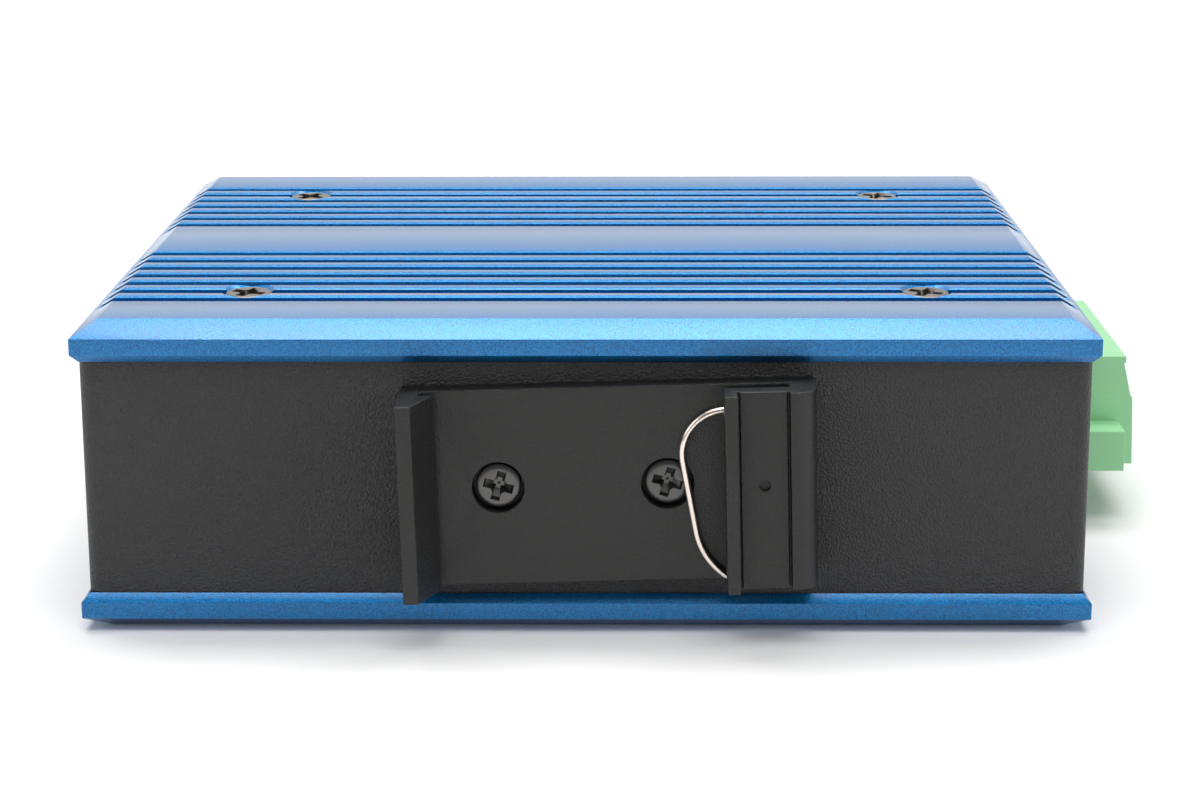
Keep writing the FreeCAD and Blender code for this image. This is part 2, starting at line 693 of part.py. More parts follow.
def make_front_panel():
    """Front plate with a flange folded back inside each end wall."""
    body = new_body("front_panel")
    inner_y = wall_y - S.sheet
    back = wall_y - S.panel_flange
    inner_x = flange_x - S.sheet
    flange_low = S.cover_edge + S.wall_play
    folded = new_sketch(body, "XY", flange_low)
    outline(folded, [
        (-flange_x, back), (-inner_x, back), (-inner_x, inner_y), (inner_x, inner_y),
        (inner_x, back), (flange_x, back), (flange_x, wall_y), (-flange_x, wall_y),
    ])
    pad(body, folded, S.case_height - flange_low * 2)
    round_upright_edges(body, [(-flange_x, wall_y), (flange_x, wall_y)], S.bend_radius)
    inside = [(-inner_x, inner_y), (inner_x, inner_y)]
    round_upright_edges(body, inside, S.bend_radius - S.sheet)

    plate = new_sketch(body, "XY", seat_low)
    rectangle(plate, S.bend_radius - flange_x, flange_x - S.bend_radius, inner_y, wall_y)
    pad(body, plate, seat_high - seat_low)

    openings = new_sketch(body, "XZ", -wall_y)
    rectangle(
        openings, -ports_half - S.cutout_play, ports_half + S.cutout_play,
        board_top - S.cutout_play, board_top + S.ports_height + S.cutout_play,
    )
    pocket(body, openings, S.sheet * 2, forwards=True)
    lights = new_sketch(body, "XZ", -wall_y)
    circle(lights, status_x, status_z, S.pipe_diameter / 2 + S.small_play)
    light = pocket(body, lights, S.sheet * 2, forwards=True)
    row_of(body, [light], "X", S.status_pitch, S.status_count)
    panel_screw_holes(body, thread_radius)
    return body


housing_shell = make_housing_shell()
front_panel = make_front_panel()


# A screw is one outline turned about its own axis. `seat` is where the underside of its head lies
# along the axis, and `way` is +1 or -1: the way its head faces.


def screw_outline(axis, seat, way, diameter, head, head_height, length, upright=False):
    shank = size(diameter) / 2
    rim = size(head) / 2
    crown = head_height * 0.4
    points = [
        (seat - length * way, axis),
        (seat - length * way, axis + shank),
        (seat, axis + shank),
        (seat, axis + rim),
        (seat + (head_height - crown) * way, axis + rim),
        (seat + head_height * way, axis + rim * 0.7),
        (seat + head_height * way, axis),
    ]
    return [(across, along) for along, across in points] if upright else points


def make_panel_screws():
    """Two pan heads on each end wall, screwed into the front panel's flanges."""
    body = new_body("panel_screws")
    profile = new_sketch(body, "XY", panel_screw_low)
    outline(profile, screw_outline(
        panel_screw_y, wall_x, 1, S.screw_diameter, S.pan_head_diameter, S.pan_head_height,
        S.panel_screw_length,
    ))
    turned = revolve(body, profile, 7)
    recess = new_sketch(body, "YZ", wall_x + S.pan_head_height)
    cross(recess, panel_screw_y, panel_screw_low)
    cut = pocket(body, recess, S.cross_depth)
    copies = body.newObject("PartDesign::MultiTransform", "MultiTransform")
    upper = body.newObject("PartDesign::LinearPattern", "LinearPattern")
    upper.Direction = (origin_part(body, "Z_Axis"), [""])
    upper.Occurrences = 2
    bind(upper, "Length", S.panel_screw_spacing)
    other_end = body.newObject("PartDesign::Mirrored", "Mirrored")
    other_end.MirrorPlane = (origin_part(body, "YZ_Plane"), [""])
    copies.Originals = [turned, cut]
    copies.Transformations = [upper, other_end]
    body.Tip = copies
    doc.recompute()


make_panel_screws()

# ---- rail clip -----------------------------------------------------------------------------
# The clip, its screws, nuts and spring are drawn about the clip's middle on the back wall:
# X across the clip, -Y out of the wall, Z along the extrusion. All take the clip's small tilt.


def place_on_back(thing):
    tilt = FreeCAD.Rotation(FreeCAD.Vector(0, -1, 0), S.clip_tilt.number)
    place(thing, S.clip_centre_x, -wall_y, clip_z, tilt)
    bind(thing, "Placement.Rotation.Angle", S.clip_tilt)


plate = -S.clip_plate
roof_low = plate - S.channel_height
roof_high = roof_low - S.channel_roof
channel_end = S.mouth_x + S.channel_depth
clip_right = channel_end + S.channel_wall
shoulder = roof_high - S.shoulder_height
ridge = roof_high - S.lip_height
seam_left = S.mouth_x + S.lip_width
seam_right = seam_left + S.seam_width + S.roof_flat
clip_left = -S.nose_x - S.slot_depth - S.hook_wall
hook_top = plate - S.hook_rise


def make_din_clip():
    """One extrusion: a hook for the rail's fixed edge, a plate, and a channel for the spring."""
    body = new_body("din_clip")
    profile = new_sketch(body, "XY")
    outline(profile, [
        (clip_left, 0),
        (clip_right, 0),
        (clip_right, shoulder),
        (seam_right + S.seam_width, shoulder),
        (seam_right + S.seam_width, roof_high + S.seam_depth),
        (seam_right, roof_high + S.seam_depth),
        (seam_right, roof_high),
        (seam_left + S.seam_width, roof_high),
        (seam_left + S.seam_width, roof_high + S.seam_depth),
        (seam_left, roof_high + S.seam_depth),
        (seam_left, ridge),
        (S.mouth_x, ridge),
        (S.mouth_x, roof_low),
        (channel_end, roof_low),
        (channel_end, plate),
        (-S.nose_x - S.slot_depth, plate),
        (-S.nose_x - S.slot_depth, plate - S.slot_height),
        (-S.nose_x, plate - S.slot_height),
        (clip_left + S.hook_tip, hook_top),
        (clip_left, hook_top),
    ])
    pad(body, profile, S.clip_height, both_ways=True)
    round_upright_edges(body, [(clip_right, shoulder)], S.shoulder_radius)

    for side in (-1, 1):
        seat = new_sketch(body, "XZ", S.clip_plate)
        circle(seat, S.clip_screw_spacing / 2 * side, 0, S.counterbore_diameter / 2)
        pocket(body, seat, S.counterbore_depth)
        through = new_sketch(body, "XZ", S.clip_plate)
        circle(through, S.clip_screw_spacing / 2 * side, 0, plain_radius)
        pocket(body, through, S.clip_plate * 2, both_ways=True)

    # The punch leaves a dimple on the roof and a stud under it, beside the spring's leg.
    stud = new_sketch(body, "XZ", -roof_low)
    circle(stud, S.stake_x, S.stake_z, S.stake_diameter / 2)
    pad(body, stud, S.stake_depth, backwards=True)
    dimple = new_sketch(body, "XZ", -roof_high)
    circle(dimple, S.stake_x, S.stake_z, S.stake_diameter / 2)
    pocket(body, dimple, S.stake_depth)
    place_on_back(body)


def make_clip_screws():
    body = new_body("clip_screws")
    seat = plate + S.counterbore_depth
    for side in (-1, 1):
        x = S.clip_screw_spacing / 2 * side
        profile = new_sketch(body, "XY")
        outline(profile, screw_outline(
            x, seat, -1, S.screw_diameter, S.clip_head_diameter, S.clip_head_height,
            S.clip_screw_length, upright=True,
        ))
        revolve(body, profile, 7)
        recess = new_sketch(body, "XZ", S.clip_head_height - seat)
        cross(recess, x, 0, S.cross_turn)
        pocket(body, recess, S.cross_depth)
    place_on_back(body)


def make_clip_nuts():
    body = new_body("clip_nuts")
    faces = new_sketch(body, "XZ", -S.sheet)
    for side in (-1, 1):
        x = S.clip_screw_spacing / 2 * side
        hexagon(faces, x, size(0), S.nut_flats)
        circle(faces, x, 0, thread_radius)
    pad(body, faces, S.nut_height, backwards=True)
    place_on_back(body)


def bend_path(corners):
    """Straight runs joined by arcs; each corner is a point and the radius of its bend."""
    edges = []
    start = corners[0][0]
    for index in range(1, len(corners) - 1):
        corner, radius = corners[index]
        to_last = (corners[index - 1][0] - corner).normalize()
        to_next = (corners[index + 1][0] - corner).normalize()
        half_turn = to_last.getAngle(to_next) / 2
        first = corner + to_last * (radius / math.tan(half_turn))
        last = corner + to_next * (radius / math.tan(half_turn))
        inward = (to_last + to_next).normalize()
        middle = corner + inward * (radius / math.sin(half_turn) - radius)
        edges.append(Part.makeLine(start, first))
        edges.append(Part.Arc(first, middle, last).toShape())
        start = last
    edges.append(Part.makeLine(start, corners[-1][0]))
    return Part.Wire(edges)


def make_rail_spring():
    """One bent wire: a leg in the channel, a bow that snaps behind the rail, and a foot."""
    radius = (S.wire_diameter / 2).number
    height = (plate - S.wire_play - S.wire_diameter / 2).number
    leg = S.mouth_x + S.leg_inset
    route = (
        (leg, -S.leg_end, size(0)),
        (leg, S.bow_top, S.leg_bend),
        (S.mouth_x - S.bow_reach, S.bow_top, S.bow_bend),
        (S.mouth_x - S.knee_reach, -S.knee_drop, S.knee_bend),
        (S.mouth_x, -S.foot_drop, S.leg_bend),
        (leg, -S.foot_drop, S.leg_bend),
        (leg, S.foot_rise - S.foot_drop, size(0)),
    )
    corners = [
        (FreeCAD.Vector(x.number, height, z.number), bend.number) for x, z, bend in route
    ]
    path = bend_path(corners)
    section = Part.Wire(Part.Circle(corners[0][0], FreeCAD.Vector(0, 0, 1), radius).toShape())
    spring = doc.addObject("Part::Feature", "rail_spring")
    spring.Label = "rail_spring"
    spring.Shape = path.makePipeShell([section], True, True)
    place_on_back(spring)


make_din_clip()
make_clip_screws()
make_clip_nuts()
make_rail_spring()

# ---- circuit board and what stands on it ---------------------------------------------------

board_back = S.board_back - wall_y
board_front = wall_y - S.board_front
board_end = wall_x - S.board_end
pin_x = header_face - S.header_depth - S.header_pin_gap
first_pole_y = terminal_y - S.pole_pitch * (S.pole_count - 1) / 2


def make_circuit_board():
    body = new_body("circuit_board")
    face = new_sketch(body, "XY", board_top - S.board_thickness)
    rectangle(face, -board_end, board_end, board_back, board_front)
    for x in (-screw_x, screw_x):
        for y in (-screw_y, screw_y):
            circle(face, x, y, plain_radius)
    pad(body, face, S.board_thickness)
    hole = new_sketch(body, "XY", board_top)
    circle(hole, pin_x, first_pole_y, S.pin_hole / 2)
    cut = pocket(body, hole, S.board_thickness * 2)
    row_of(body, [cut], "Y", S.pole_pitch, S.pole_count)


make_circuit_board()
chip_y = board_back + S.chip_inset
block("switch_chip", -S.chip_left, chip_y, board_top, S.chip_size, S.chip_size, S.chip_height)
block("thermal_pad", -S.chip_left, chip_y, S.cover_plate, S.chip_size, S.chip_size, S.board_gap)
block(
    "power_inductor", board_end - S.inductor_end, board_back + S.inductor_inset, board_top,
    S.inductor_size, S.inductor_size, S.inductor_height,
)
block(
    "alarm_relay", board_end - S.relay_end, board_back + S.relay_inset, board_top,
    S.relay_length, S.relay_depth, S.relay_height,
)
block(
    "regulator_chip", board_end - S.regulator_end, board_back + S.regulator_inset, board_top,
    S.regulator_length, S.regulator_depth, S.chip_height,
)
block(
    "crystal", S.crystal_right, board_back + S.crystal_inset, board_top, S.crystal_length,
    S.crystal_depth, S.crystal_height,
)
header_clear = S.capacitor_1_gap + S.capacitor_diameter / 2
for label, end, y in (
    ("bulk_capacitor_1", S.capacitor_1_end, terminal_y - header_end - header_clear),
    ("bulk_capacitor_2", S.capacitor_2_end, board_back + S.capacitor_2_inset),
):
    can = doc.addObject("Part::Cylinder", label)
    can.Label = label
    bind(can, "Radius", S.capacitor_diameter / 2)
    bind(can, "Height", S.capacitor_height)
    place(can, board_end - end, y, board_top)

# ---- network ports -------------------------------------------------------------------------

lamp_low = board_top + S.ports_height - S.lamp_drop
port_high = lamp_low - S.lamp_gap
port_low = port_high - S.port_height
ports_back = ports_front - S.ports_depth
port_back = ports_front - S.port_depth
first_port_x = -S.port_pitch * (S.port_count - 1) / 2
housing_inset = S.shield_sheet + S.small_play
port_numbers = range(int(S.port_count.number))


def port_x(number):
    return first_port_x + S.port_pitch * number


def cut_port_row(body, depth, lamp_depth):
    """Openings for the ports and for the two lamps over each, cut back from the row's front."""
    half = S.port_width / 2
    latch = S.latch_width / 2
    opening = new_sketch(body, "XZ", -ports_front)
    outline(opening, [
        (first_port_x - half, port_low),
        (first_port_x - latch, port_low),
        (first_port_x - latch, port_low - S.latch_height),
        (first_port_x + latch, port_low - S.latch_height),
        (first_port_x + latch, port_low),
        (first_port_x + half, port_low),
        (first_port_x + half, port_high),
        (first_port_x - half, port_high),
    ])
    cuts = [pocket(body, opening, depth, forwards=True)]
    lamps = new_sketch(body, "XZ", -ports_front)
    for side in (-1, 1):
        x = first_port_x + S.lamp_spread / 2 * side
        reach = S.lamp_width / 2 + S.small_play
        rectangle(
            lamps, x - reach, x + reach, lamp_low - S.small_play,
            lamp_low + S.lamp_height + S.small_play,
        )
    cuts.append(pocket(body, lamps, lamp_depth, forwards=True))
    row_of(body, cuts, "X", S.port_pitch, S.port_count)


def make_port_shield():
    """Thin sheet over the top, sides, back and front of the row, open to the board."""
    body = new_body("port_shield")
    outside = new_sketch(body, "XY", board_top)
    rectangle(outside, -ports_half, ports_half, ports_back, ports_front)
    pad(body, outside, S.ports_height)
    inside = new_sketch(body, "XY", board_top)
    half = ports_half - S.shield_sheet
    rectangle(inside, -half, half, ports_back + S.shield_sheet, ports_front - S.shield_sheet)
    pocket(body, inside, S.ports_height - S.shield_sheet, forwards=True)
    cut_port_row(body, S.shield_sheet * 2, S.shield_sheet * 2)


def make_port_housing():
    body = new_body("port_housing")
    base = new_sketch(body, "XY", board_top)
    half = ports_half - housing_inset
    rectangle(base, -half, half, ports_back + housing_inset, ports_front - housing_inset)
    pad(body, base, S.ports_height - housing_inset)
    cut_port_row(body, S.port_depth, S.lamp_depth)


def make_port_contacts(label, x):
    """Eight blades that lie along the opening's roof and fold back over themselves."""
    body = new_body(label)
    fold = port_back + S.contact_reach
    blade = new_sketch(body, "YZ", -S.contact_pitch * (S.contact_count - 1) / 2)
    outline(blade, [
        (port_back, port_high),
        (fold, port_high),
        (port_back + S.contact_tip, port_high - S.contact_drop),
        (port_back + S.contact_tip, port_high - S.contact_drop + S.contact_thickness),
        (fold - S.contact_thickness * 4, port_high - S.contact_thickness),
        (port_back, port_high - S.contact_thickness),
    ])
    blades = pad(body, blade, S.contact_width, both_ways=True)
    row_of(body, [blades], "X", S.contact_pitch, S.contact_count)
    place(body, x)


def make_port_lamps(label, x):
    body = new_body(label)
    lens = new_sketch(body, "XZ", -ports_front)
    for side in (-1, 1):
        middle = S.lamp_spread / 2 * side
        half = S.lamp_width / 2
        rectangle(lens, middle - half, middle + half, lamp_low, lamp_low + S.lamp_height)
    pad(body, lens, S.lamp_depth)
    place(body, x)


make_port_shield()
make_port_housing()
for number in port_numbers:
    make_port_contacts(f"port_contacts_{number + 1}", port_x(number))
    make_port_lamps(f"port_lamps_{number + 1}", port_x(number))
    block(
        f"magnetics_{number + 1}", port_x(number),
        ports_back - S.magnetics_gap - S.magnetics_depth / 2, board_top,
        S.magnetics_width, S.magnetics_depth, S.magnetics_height,
    )


# ---- status lights -------------------------------------------------------------------------

pipe_front = wall_y + S.pipe_proud
leg_y = pipe_front - S.pipe_length


def make_status_light_pipes():
    """Clear rods behind the panel's holes, each with a leg down to its lamp chip."""
    body = new_body("status_light_pipes")
    rod = new_sketch(body, "XZ", -pipe_front)
    circle(rod, status_x, status_z, S.pipe_diameter / 2)
    rods = pad(body, rod, S.pipe_length)
    leg = new_sketch(body, "XY", board_top + S.lamp_chip)
    half = S.pipe_leg / 2
    rectangle(leg, status_x - half, status_x + half, leg_y, leg_y + S.pipe_leg)
    legs = pad(body, leg, S.status_height - S.lamp_chip)
    row_of(body, [rods, legs], "X", S.status_pitch, S.status_count)


def make_status_leds():
    body = new_body("status_leds")
    chip = new_sketch(body, "XY", board_top)
    half = S.pipe_leg / 2
    rectangle(chip, status_x - half, status_x + half, leg_y, leg_y + S.pipe_leg)
    chips = pad(body, chip, S.lamp_chip)
    row_of(body, [chips], "X", S.status_pitch, S.status_count)


make_status_light_pipes()
make_status_leds()

# ---- pluggable screw terminal --------------------------------------------------------------

header_top = board_top + S.header_height
cavity_floor = header_face - S.header_depth + S.header_back
nut_face = header_face - S.ear_nut_inset
plug_top = plug_base + S.plug_height
entry_low = plug_base + S.entry_base
clamp_x = plug_face + S.clamp_reach
clamp_seat = plug_top - S.clamp_head_drop - S.clamp_head_height
socket_half = S.pin_size / 2 + S.small_play
strip_top = pin_z - socket_half
ear_face = plug_face + S.ear_reach
ear_seat = plug_face + S.ear_seat
ear_thread = S.ear_screw / 2 + S.screw_play
ear_hole = S.ear_screw / 2 + S.screw_clearance / 2


def make_terminal_header():
    """A tray open to +X for the plug, with a nut held in each ear."""
    body = new_body("terminal_header")
    base = new_sketch(body, "XY", board_top)
    rectangle(
        base, header_face - S.header_depth, header_face, terminal_y - header_end,
        terminal_y + header_end,
    )
    pad(body, base, S.header_height)
    mouth = new_sketch(body, "YZ", header_face)
    half = header_half - S.header_wall
    rectangle(
        mouth, terminal_y - half, terminal_y + half, board_top + S.header_wall,
        header_top - S.header_wall,
    )
    pocket(body, mouth, S.header_depth - S.header_back)
    slots = new_sketch(body, "YZ", nut_face)
    bores = new_sketch(body, "YZ", header_face)
    for side in (-1, 1):
        y = terminal_y + ear_middle * side
        reach = S.ear_nut / 2 + S.small_play
        rectangle(slots, y - reach, y + reach, ear_z - reach, header_top)
        circle(bores, y, ear_z, ear_hole)
    pocket(body, slots, S.ear_nut_height + S.small_play)
    pocket(body, bores, plug_face + S.ear_seat - S.ear_screw_length)
    pins = new_sketch(body, "YZ", cavity_floor)
    rectangle(
        pins, first_pole_y - socket_half, first_pole_y + socket_half, pin_z - socket_half,
        pin_z + socket_half,
    )
    cut = pocket(body, pins, S.header_back * 2)
    row_of(body, [cut], "Y", S.pole_pitch, S.pole_count)


def make_header_pins():
    """Square pins, bent down through the board."""
    body = new_body("header_pins")
    half = S.pin_size / 2
    reach = header_face - S.pin_reach
    foot = board_top - S.board_thickness - S.pin_below
    bent = new_sketch(body, "XZ", -first_pole_y)
    outline(bent, [
        (pin_x - half, pin_z + half), (reach, pin_z + half), (reach, pin_z - half),
        (pin_x + half, pin_z - half), (pin_x + half, foot), (pin_x - half, foot),
    ])
    pins = pad(body, bent, S.pin_size, both_ways=True)
    row_of(body, [pins], "Y", S.pole_pitch, S.pole_count)


def make_flange_nuts():
    body = new_body("flange_nuts")
    faces = new_sketch(body, "YZ", nut_face)
    for side in (-1, 1):
        y = terminal_y + ear_middle * side
        half = S.ear_nut / 2
        rectangle(faces, y - half, y + half, ear_z - half, ear_z + half)
        circle(faces, y, ear_z, ear_thread)
    pad(body, faces, S.ear_nut_height, backwards=True)


def make_terminal_plug():
    """A tower with a wire entry and a screw hole for each pole, a tongue and two screw ears."""
    body = new_body("terminal_plug")
    shoulder_z = plug_top - S.plug_shoulder_drop
    lip_z = plug_top - S.plug_lip
    tower = new_sketch(body, "XZ", -terminal_y)
    outline(tower, [
        (plug_face, plug_base),
        (plug_face + S.plug_foot_reach, plug_base),
        (plug_face + S.plug_shoulder_reach + S.plug_shoulder_step,
         shoulder_z - S.plug_shoulder_fall),
        (plug_face + S.plug_shoulder_reach, shoulder_z),
        (plug_face + S.plug_top_reach - S.plug_lip_step, lip_z),
        (plug_face + S.plug_top_reach, lip_z),
        (plug_face + S.plug_top_reach, plug_top),
        (plug_face, plug_top),
    ])
    pad(body, tower, header_half * 2, both_ways=True)

    tongue = new_sketch(body, "YZ", plug_face)
    half = header_half - S.header_wall - S.plug_play
    rectangle(
        tongue, terminal_y - half, terminal_y + half,
        board_top + S.header_wall + S.plug_play, header_top - S.header_wall - S.plug_play,
    )
    pad(body, tongue, S.plug_tongue, backwards=True)

    ears = new_sketch(body, "YZ", plug_face)
    bores = new_sketch(body, "YZ", ear_face)
    recesses = new_sketch(body, "YZ", ear_face)
    for side in (-1, 1):
        inner = terminal_y + header_half * side
        outer = terminal_y + header_end * side
        low = ear_z - S.ear_height / 2
        rectangle(ears, inner, outer, low, low + S.ear_height)
        y = terminal_y + ear_middle * side
        circle(bores, y, ear_z, ear_hole)
        circle(recesses, y, ear_z, S.ear_head_diameter / 2 + S.small_play)
    pad(body, ears, S.ear_reach)
    pocket(body, bores, S.ear_reach)
    pocket(body, recesses, S.ear_reach - S.ear_seat)

    entry = new_sketch(body, "YZ", plug_face + S.entry_back)
    half = S.entry_width / 2
    rectangle(
        entry, first_pole_y - half, first_pole_y + half, entry_low, entry_low + S.entry_height,
    )
    cuts = [pocket(body, entry, S.plug_foot_reach, forwards=True)]
    driver_hole = new_sketch(body, "XY", plug_top)
    circle(driver_hole, clamp_x, first_pole_y, S.clamp_head_diameter / 2 + S.small_play * 2)
    cuts.append(pocket(body, driver_hole, plug_top - clamp_seat))
    screw_hole = new_sketch(body, "XY", clamp_seat)
    circle(screw_hole, clamp_x, first_pole_y, S.clamp_thread / 2 + S.screw_play)
    cuts.append(pocket(body, screw_hole, clamp_seat - entry_low))
    socket = new_sketch(body, "YZ", plug_face - S.plug_tongue)
    half = S.socket_width / 2 + S.small_play
    reach = socket_half + S.socket_sheet + S.small_play
    rectangle(socket, first_pole_y - half, first_pole_y + half, pin_z - reach, pin_z + reach)
    cuts.append(pocket(body, socket, S.plug_tongue + S.entry_back * 2, forwards=True))
    row_of(body, cuts, "Y", S.pole_pitch, S.pole_count)


def make_plug_contacts():
    """Folded strips: a fork round each pin, with a tail through the pole's clamp cage."""
    body = new_body("plug_contacts")
    start = plug_face - S.plug_tongue + S.plug_play
    fold = plug_face + S.socket_end
    tail = clamp_x + S.cage_length / 2 - S.plug_play
    outer = socket_half + S.socket_sheet
    strip = new_sketch(body, "XZ", -first_pole_y)
    outline(strip, [
        (start, pin_z + outer),
        (fold, pin_z + outer),
        (fold, strip_top),
        (tail, strip_top),
        (tail, pin_z - outer),
        (start, pin_z - outer),
        (start, strip_top),
        (fold - S.socket_sheet, strip_top),
        (fold - S.socket_sheet, pin_z + socket_half),
        (start, pin_z + socket_half),
    ])
    strips = pad(body, strip, S.socket_width, both_ways=True)
    row_of(body, [strips], "Y", S.pole_pitch, S.pole_count)


def make_plug_clamp_cages():
    body = new_body("plug_clamp_cages")
    half = S.entry_width / 2 - S.small_play
    low = entry_low + S.small_play
    high = entry_low + S.entry_height - S.small_play
    tube = new_sketch(body, "YZ", clamp_x)
    rectangle(tube, first_pole_y - half, first_pole_y + half, low, high)
    inner = half - S.cage_side
    rectangle(
        tube, first_pole_y - inner, first_pole_y + inner, low + S.cage_wall, high - S.cage_wall,
    )
    cage = pad(body, tube, S.cage_length, both_ways=True)
    thread = new_sketch(body, "XY", high)
    circle(thread, clamp_x, first_pole_y, S.clamp_thread / 2 + S.screw_play)
    hole = pocket(body, thread, S.cage_wall)
    row_of(body, [cage, hole], "Y", S.pole_pitch, S.pole_count)


def driver_slot(sketch, x, y, head):
    """A slot right across a screw's head."""
    half = S.driver_slot_width / 2
    rectangle(sketch, x - head, x + head, y - half, y + half)


def make_plug_clamp_screws():
    body = new_body("plug_clamp_screws")
    profile = new_sketch(body, "XZ", -first_pole_y)
    outline(profile, screw_outline(
        clamp_x, clamp_seat, 1, S.clamp_thread, S.clamp_head_diameter, S.clamp_head_height,
        clamp_seat - strip_top - S.small_play, upright=True,
    ))
    turned = revolve(body, profile, 7)
    slot = new_sketch(body, "XY", clamp_seat + S.clamp_head_height)
    driver_slot(slot, clamp_x, first_pole_y, S.clamp_head_diameter)
    cut = pocket(body, slot, S.driver_slot_depth)
    row_of(body, [turned, cut], "Y", S.pole_pitch, S.pole_count)


def make_plug_flange_screws():
    body = new_body("plug_flange_screws")
    for side in (-1, 1):
        y = terminal_y + ear_middle * side
        profile = new_sketch(body, "XY", ear_z)
        outline(profile, screw_outline(
            y, ear_seat, 1, S.ear_screw, S.ear_head_diameter, S.ear_head_height,
            S.ear_screw_length,
        ))
        revolve(body, profile, 7)
        slot = new_sketch(body, "YZ", ear_seat + S.ear_head_height)
        driver_slot(slot, y, ear_z, S.ear_head_diameter)
        pocket(body, slot, S.driver_slot_depth)


make_terminal_header()
make_header_pins()
make_flange_nuts()
make_terminal_plug()
make_plug_contacts()
make_plug_clamp_cages()
make_plug_clamp_screws()
make_plug_flange_screws()

# ---- earth screw ---------------------------------------------------------------------------


def make_earth_screw():
    """A pan head through the end wall: washer outside, nut inside."""
    screw = new_body("earth_screw")
    profile = new_sketch(screw, "XY", S.earth_z)
    seat = wall_x + S.washer_height
    outline(profile, screw_outline(
        earth_y, seat, 1, S.earth_screw, S.earth_head, S.earth_head_height, S.earth_length,
    ))
    revolve(screw, profile, 7)
    recess = new_sketch(screw, "YZ", seat + S.earth_head_height)
    cross(recess, earth_y, S.earth_z)
    pocket(screw, recess, S.cross_depth)

    washer = new_body("earth_washer")
    ring = new_sketch(washer, "YZ", wall_x)
    circle(ring, earth_y, S.earth_z, S.washer_diameter / 2)
    circle(ring, earth_y, S.earth_z, S.earth_screw / 2 + S.screw_clearance)
    pad(washer, ring, S.washer_height)

    nut = new_body("earth_nut")
    faces = new_sketch(nut, "YZ", wall_x - S.sheet)
    hexagon(faces, earth_y, S.earth_z, S.earth_nut_flats)
    circle(faces, earth_y, S.earth_z, S.earth_screw / 2 + S.screw_play)
    pad(nut, faces, S.earth_nut_height, backwards=True)


make_earth_screw()

# ---- check and write -----------------------------------------------------------------------

doc.recompute()
for thing in doc.Objects:
    faults = {"Invalid", "Error"} & set(thing.State)
    if faults:
        raise RuntimeError(f"{thing.Label}: {faults}")

os.makedirs("parts", exist_ok=True)
kinds = ("PartDesign::Body", "Part::Box", "Part::Cylinder", "Part::Feature")
pieces = [thing for thing in doc.Objects if thing.TypeId in kinds]
for piece in pieces:
    if piece.Shape.isNull() or not piece.Shape.isValid():
        raise RuntimeError(f"{piece.Label}: shape is not valid")
    piece.Shape.exportStep(f"parts/{piece.Label}.step")
print(f"{len(pieces)} pieces written")
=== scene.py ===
# %% [markdown]
# # A network switch for a mounting rail
# The switch is a folded steel case between two grooved aluminium covers. Its back carries a
# spring clip for a rail, its front a row of network ports, its end a green screw terminal.
# The engineering model comes in first as a fixed frame. Each cell then dresses or rebuilds one
# of its pieces around it, in metres, so that nothing has to be fitted afterwards.

# %% Load the frame
import math
import bpy
import bmesh
from mathutils import Euler, Matrix, Vector


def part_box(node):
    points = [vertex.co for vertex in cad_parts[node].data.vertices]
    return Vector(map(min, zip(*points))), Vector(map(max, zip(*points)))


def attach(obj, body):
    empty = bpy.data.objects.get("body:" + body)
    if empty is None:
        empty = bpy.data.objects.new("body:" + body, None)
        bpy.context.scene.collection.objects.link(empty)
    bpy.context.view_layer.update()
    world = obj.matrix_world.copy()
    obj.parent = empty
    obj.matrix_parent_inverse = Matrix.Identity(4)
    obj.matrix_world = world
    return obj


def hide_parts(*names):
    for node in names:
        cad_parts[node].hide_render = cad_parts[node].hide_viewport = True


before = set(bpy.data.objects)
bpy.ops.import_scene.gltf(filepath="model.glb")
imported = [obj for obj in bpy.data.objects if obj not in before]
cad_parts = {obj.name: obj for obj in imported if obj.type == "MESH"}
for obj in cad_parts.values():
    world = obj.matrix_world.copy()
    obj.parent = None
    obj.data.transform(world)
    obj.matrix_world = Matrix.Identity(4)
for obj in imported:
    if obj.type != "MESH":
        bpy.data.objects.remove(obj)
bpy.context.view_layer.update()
MM = 0.001


def box_mm(node):
    """A node's lowest and highest corners, in millimetres."""
    low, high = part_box(node)
    return Vector(low) / MM, Vector(high) / MM


cover_low, cover_high = box_mm("upper_cover")
wall_low, wall_high = box_mm("housing_shell")
print("nodes:", len(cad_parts), "cover:", [round(v, 1) for v in cover_high - cover_low])

# %% [markdown]
# ## The studio
# The switch lies on a white table in front of a white wall. The camera stands a little over it
# and looks down on the grooved cover. A small downward shift keeps its upright edges nearly
# upright.

# %% Camera
LENS, SHIFT = 73.9, -0.12
CAMERA_PLACE = Vector((4.9, -307.5, 102.5))
LOOK_DOWN, ROLL, TURN = 12.62, 0.16, 0.65
camera = bpy.data.objects.new("camera", bpy.data.cameras.new("camera"))
bpy.context.collection.objects.link(camera)
camera.data.sensor_width = 36
camera.data.lens = LENS
camera.data.shift_y = SHIFT
camera.data.clip_start = 0.01
camera.location = CAMERA_PLACE * MM
camera.rotation_euler = Euler([math.radians(turn) for turn in (90 - LOOK_DOWN, ROLL, TURN)])
bpy.context.scene.camera = camera
bpy.context.scene.view_settings.view_transform = "Standard"
print("camera at", [round(v, 3) for v in camera.location])


# %% [markdown]
# Every tree in this lesson, for a material or for geometry, is built by one small function. It
# adds a node, sets its properties, and joins each named input to a value or to another node.

# %% Helpers for colours and node trees
def linear(hex_colour):
    """An sRGB hex colour as linear red, green, blue and alpha."""
    channels = [int(hex_colour[i:i + 2], 16) / 255 for i in (1, 3, 5)]
    return [c / 12.92 if c <= 0.04045 else ((c + 0.055) / 1.055) ** 2.4 for c in channels] + [1]


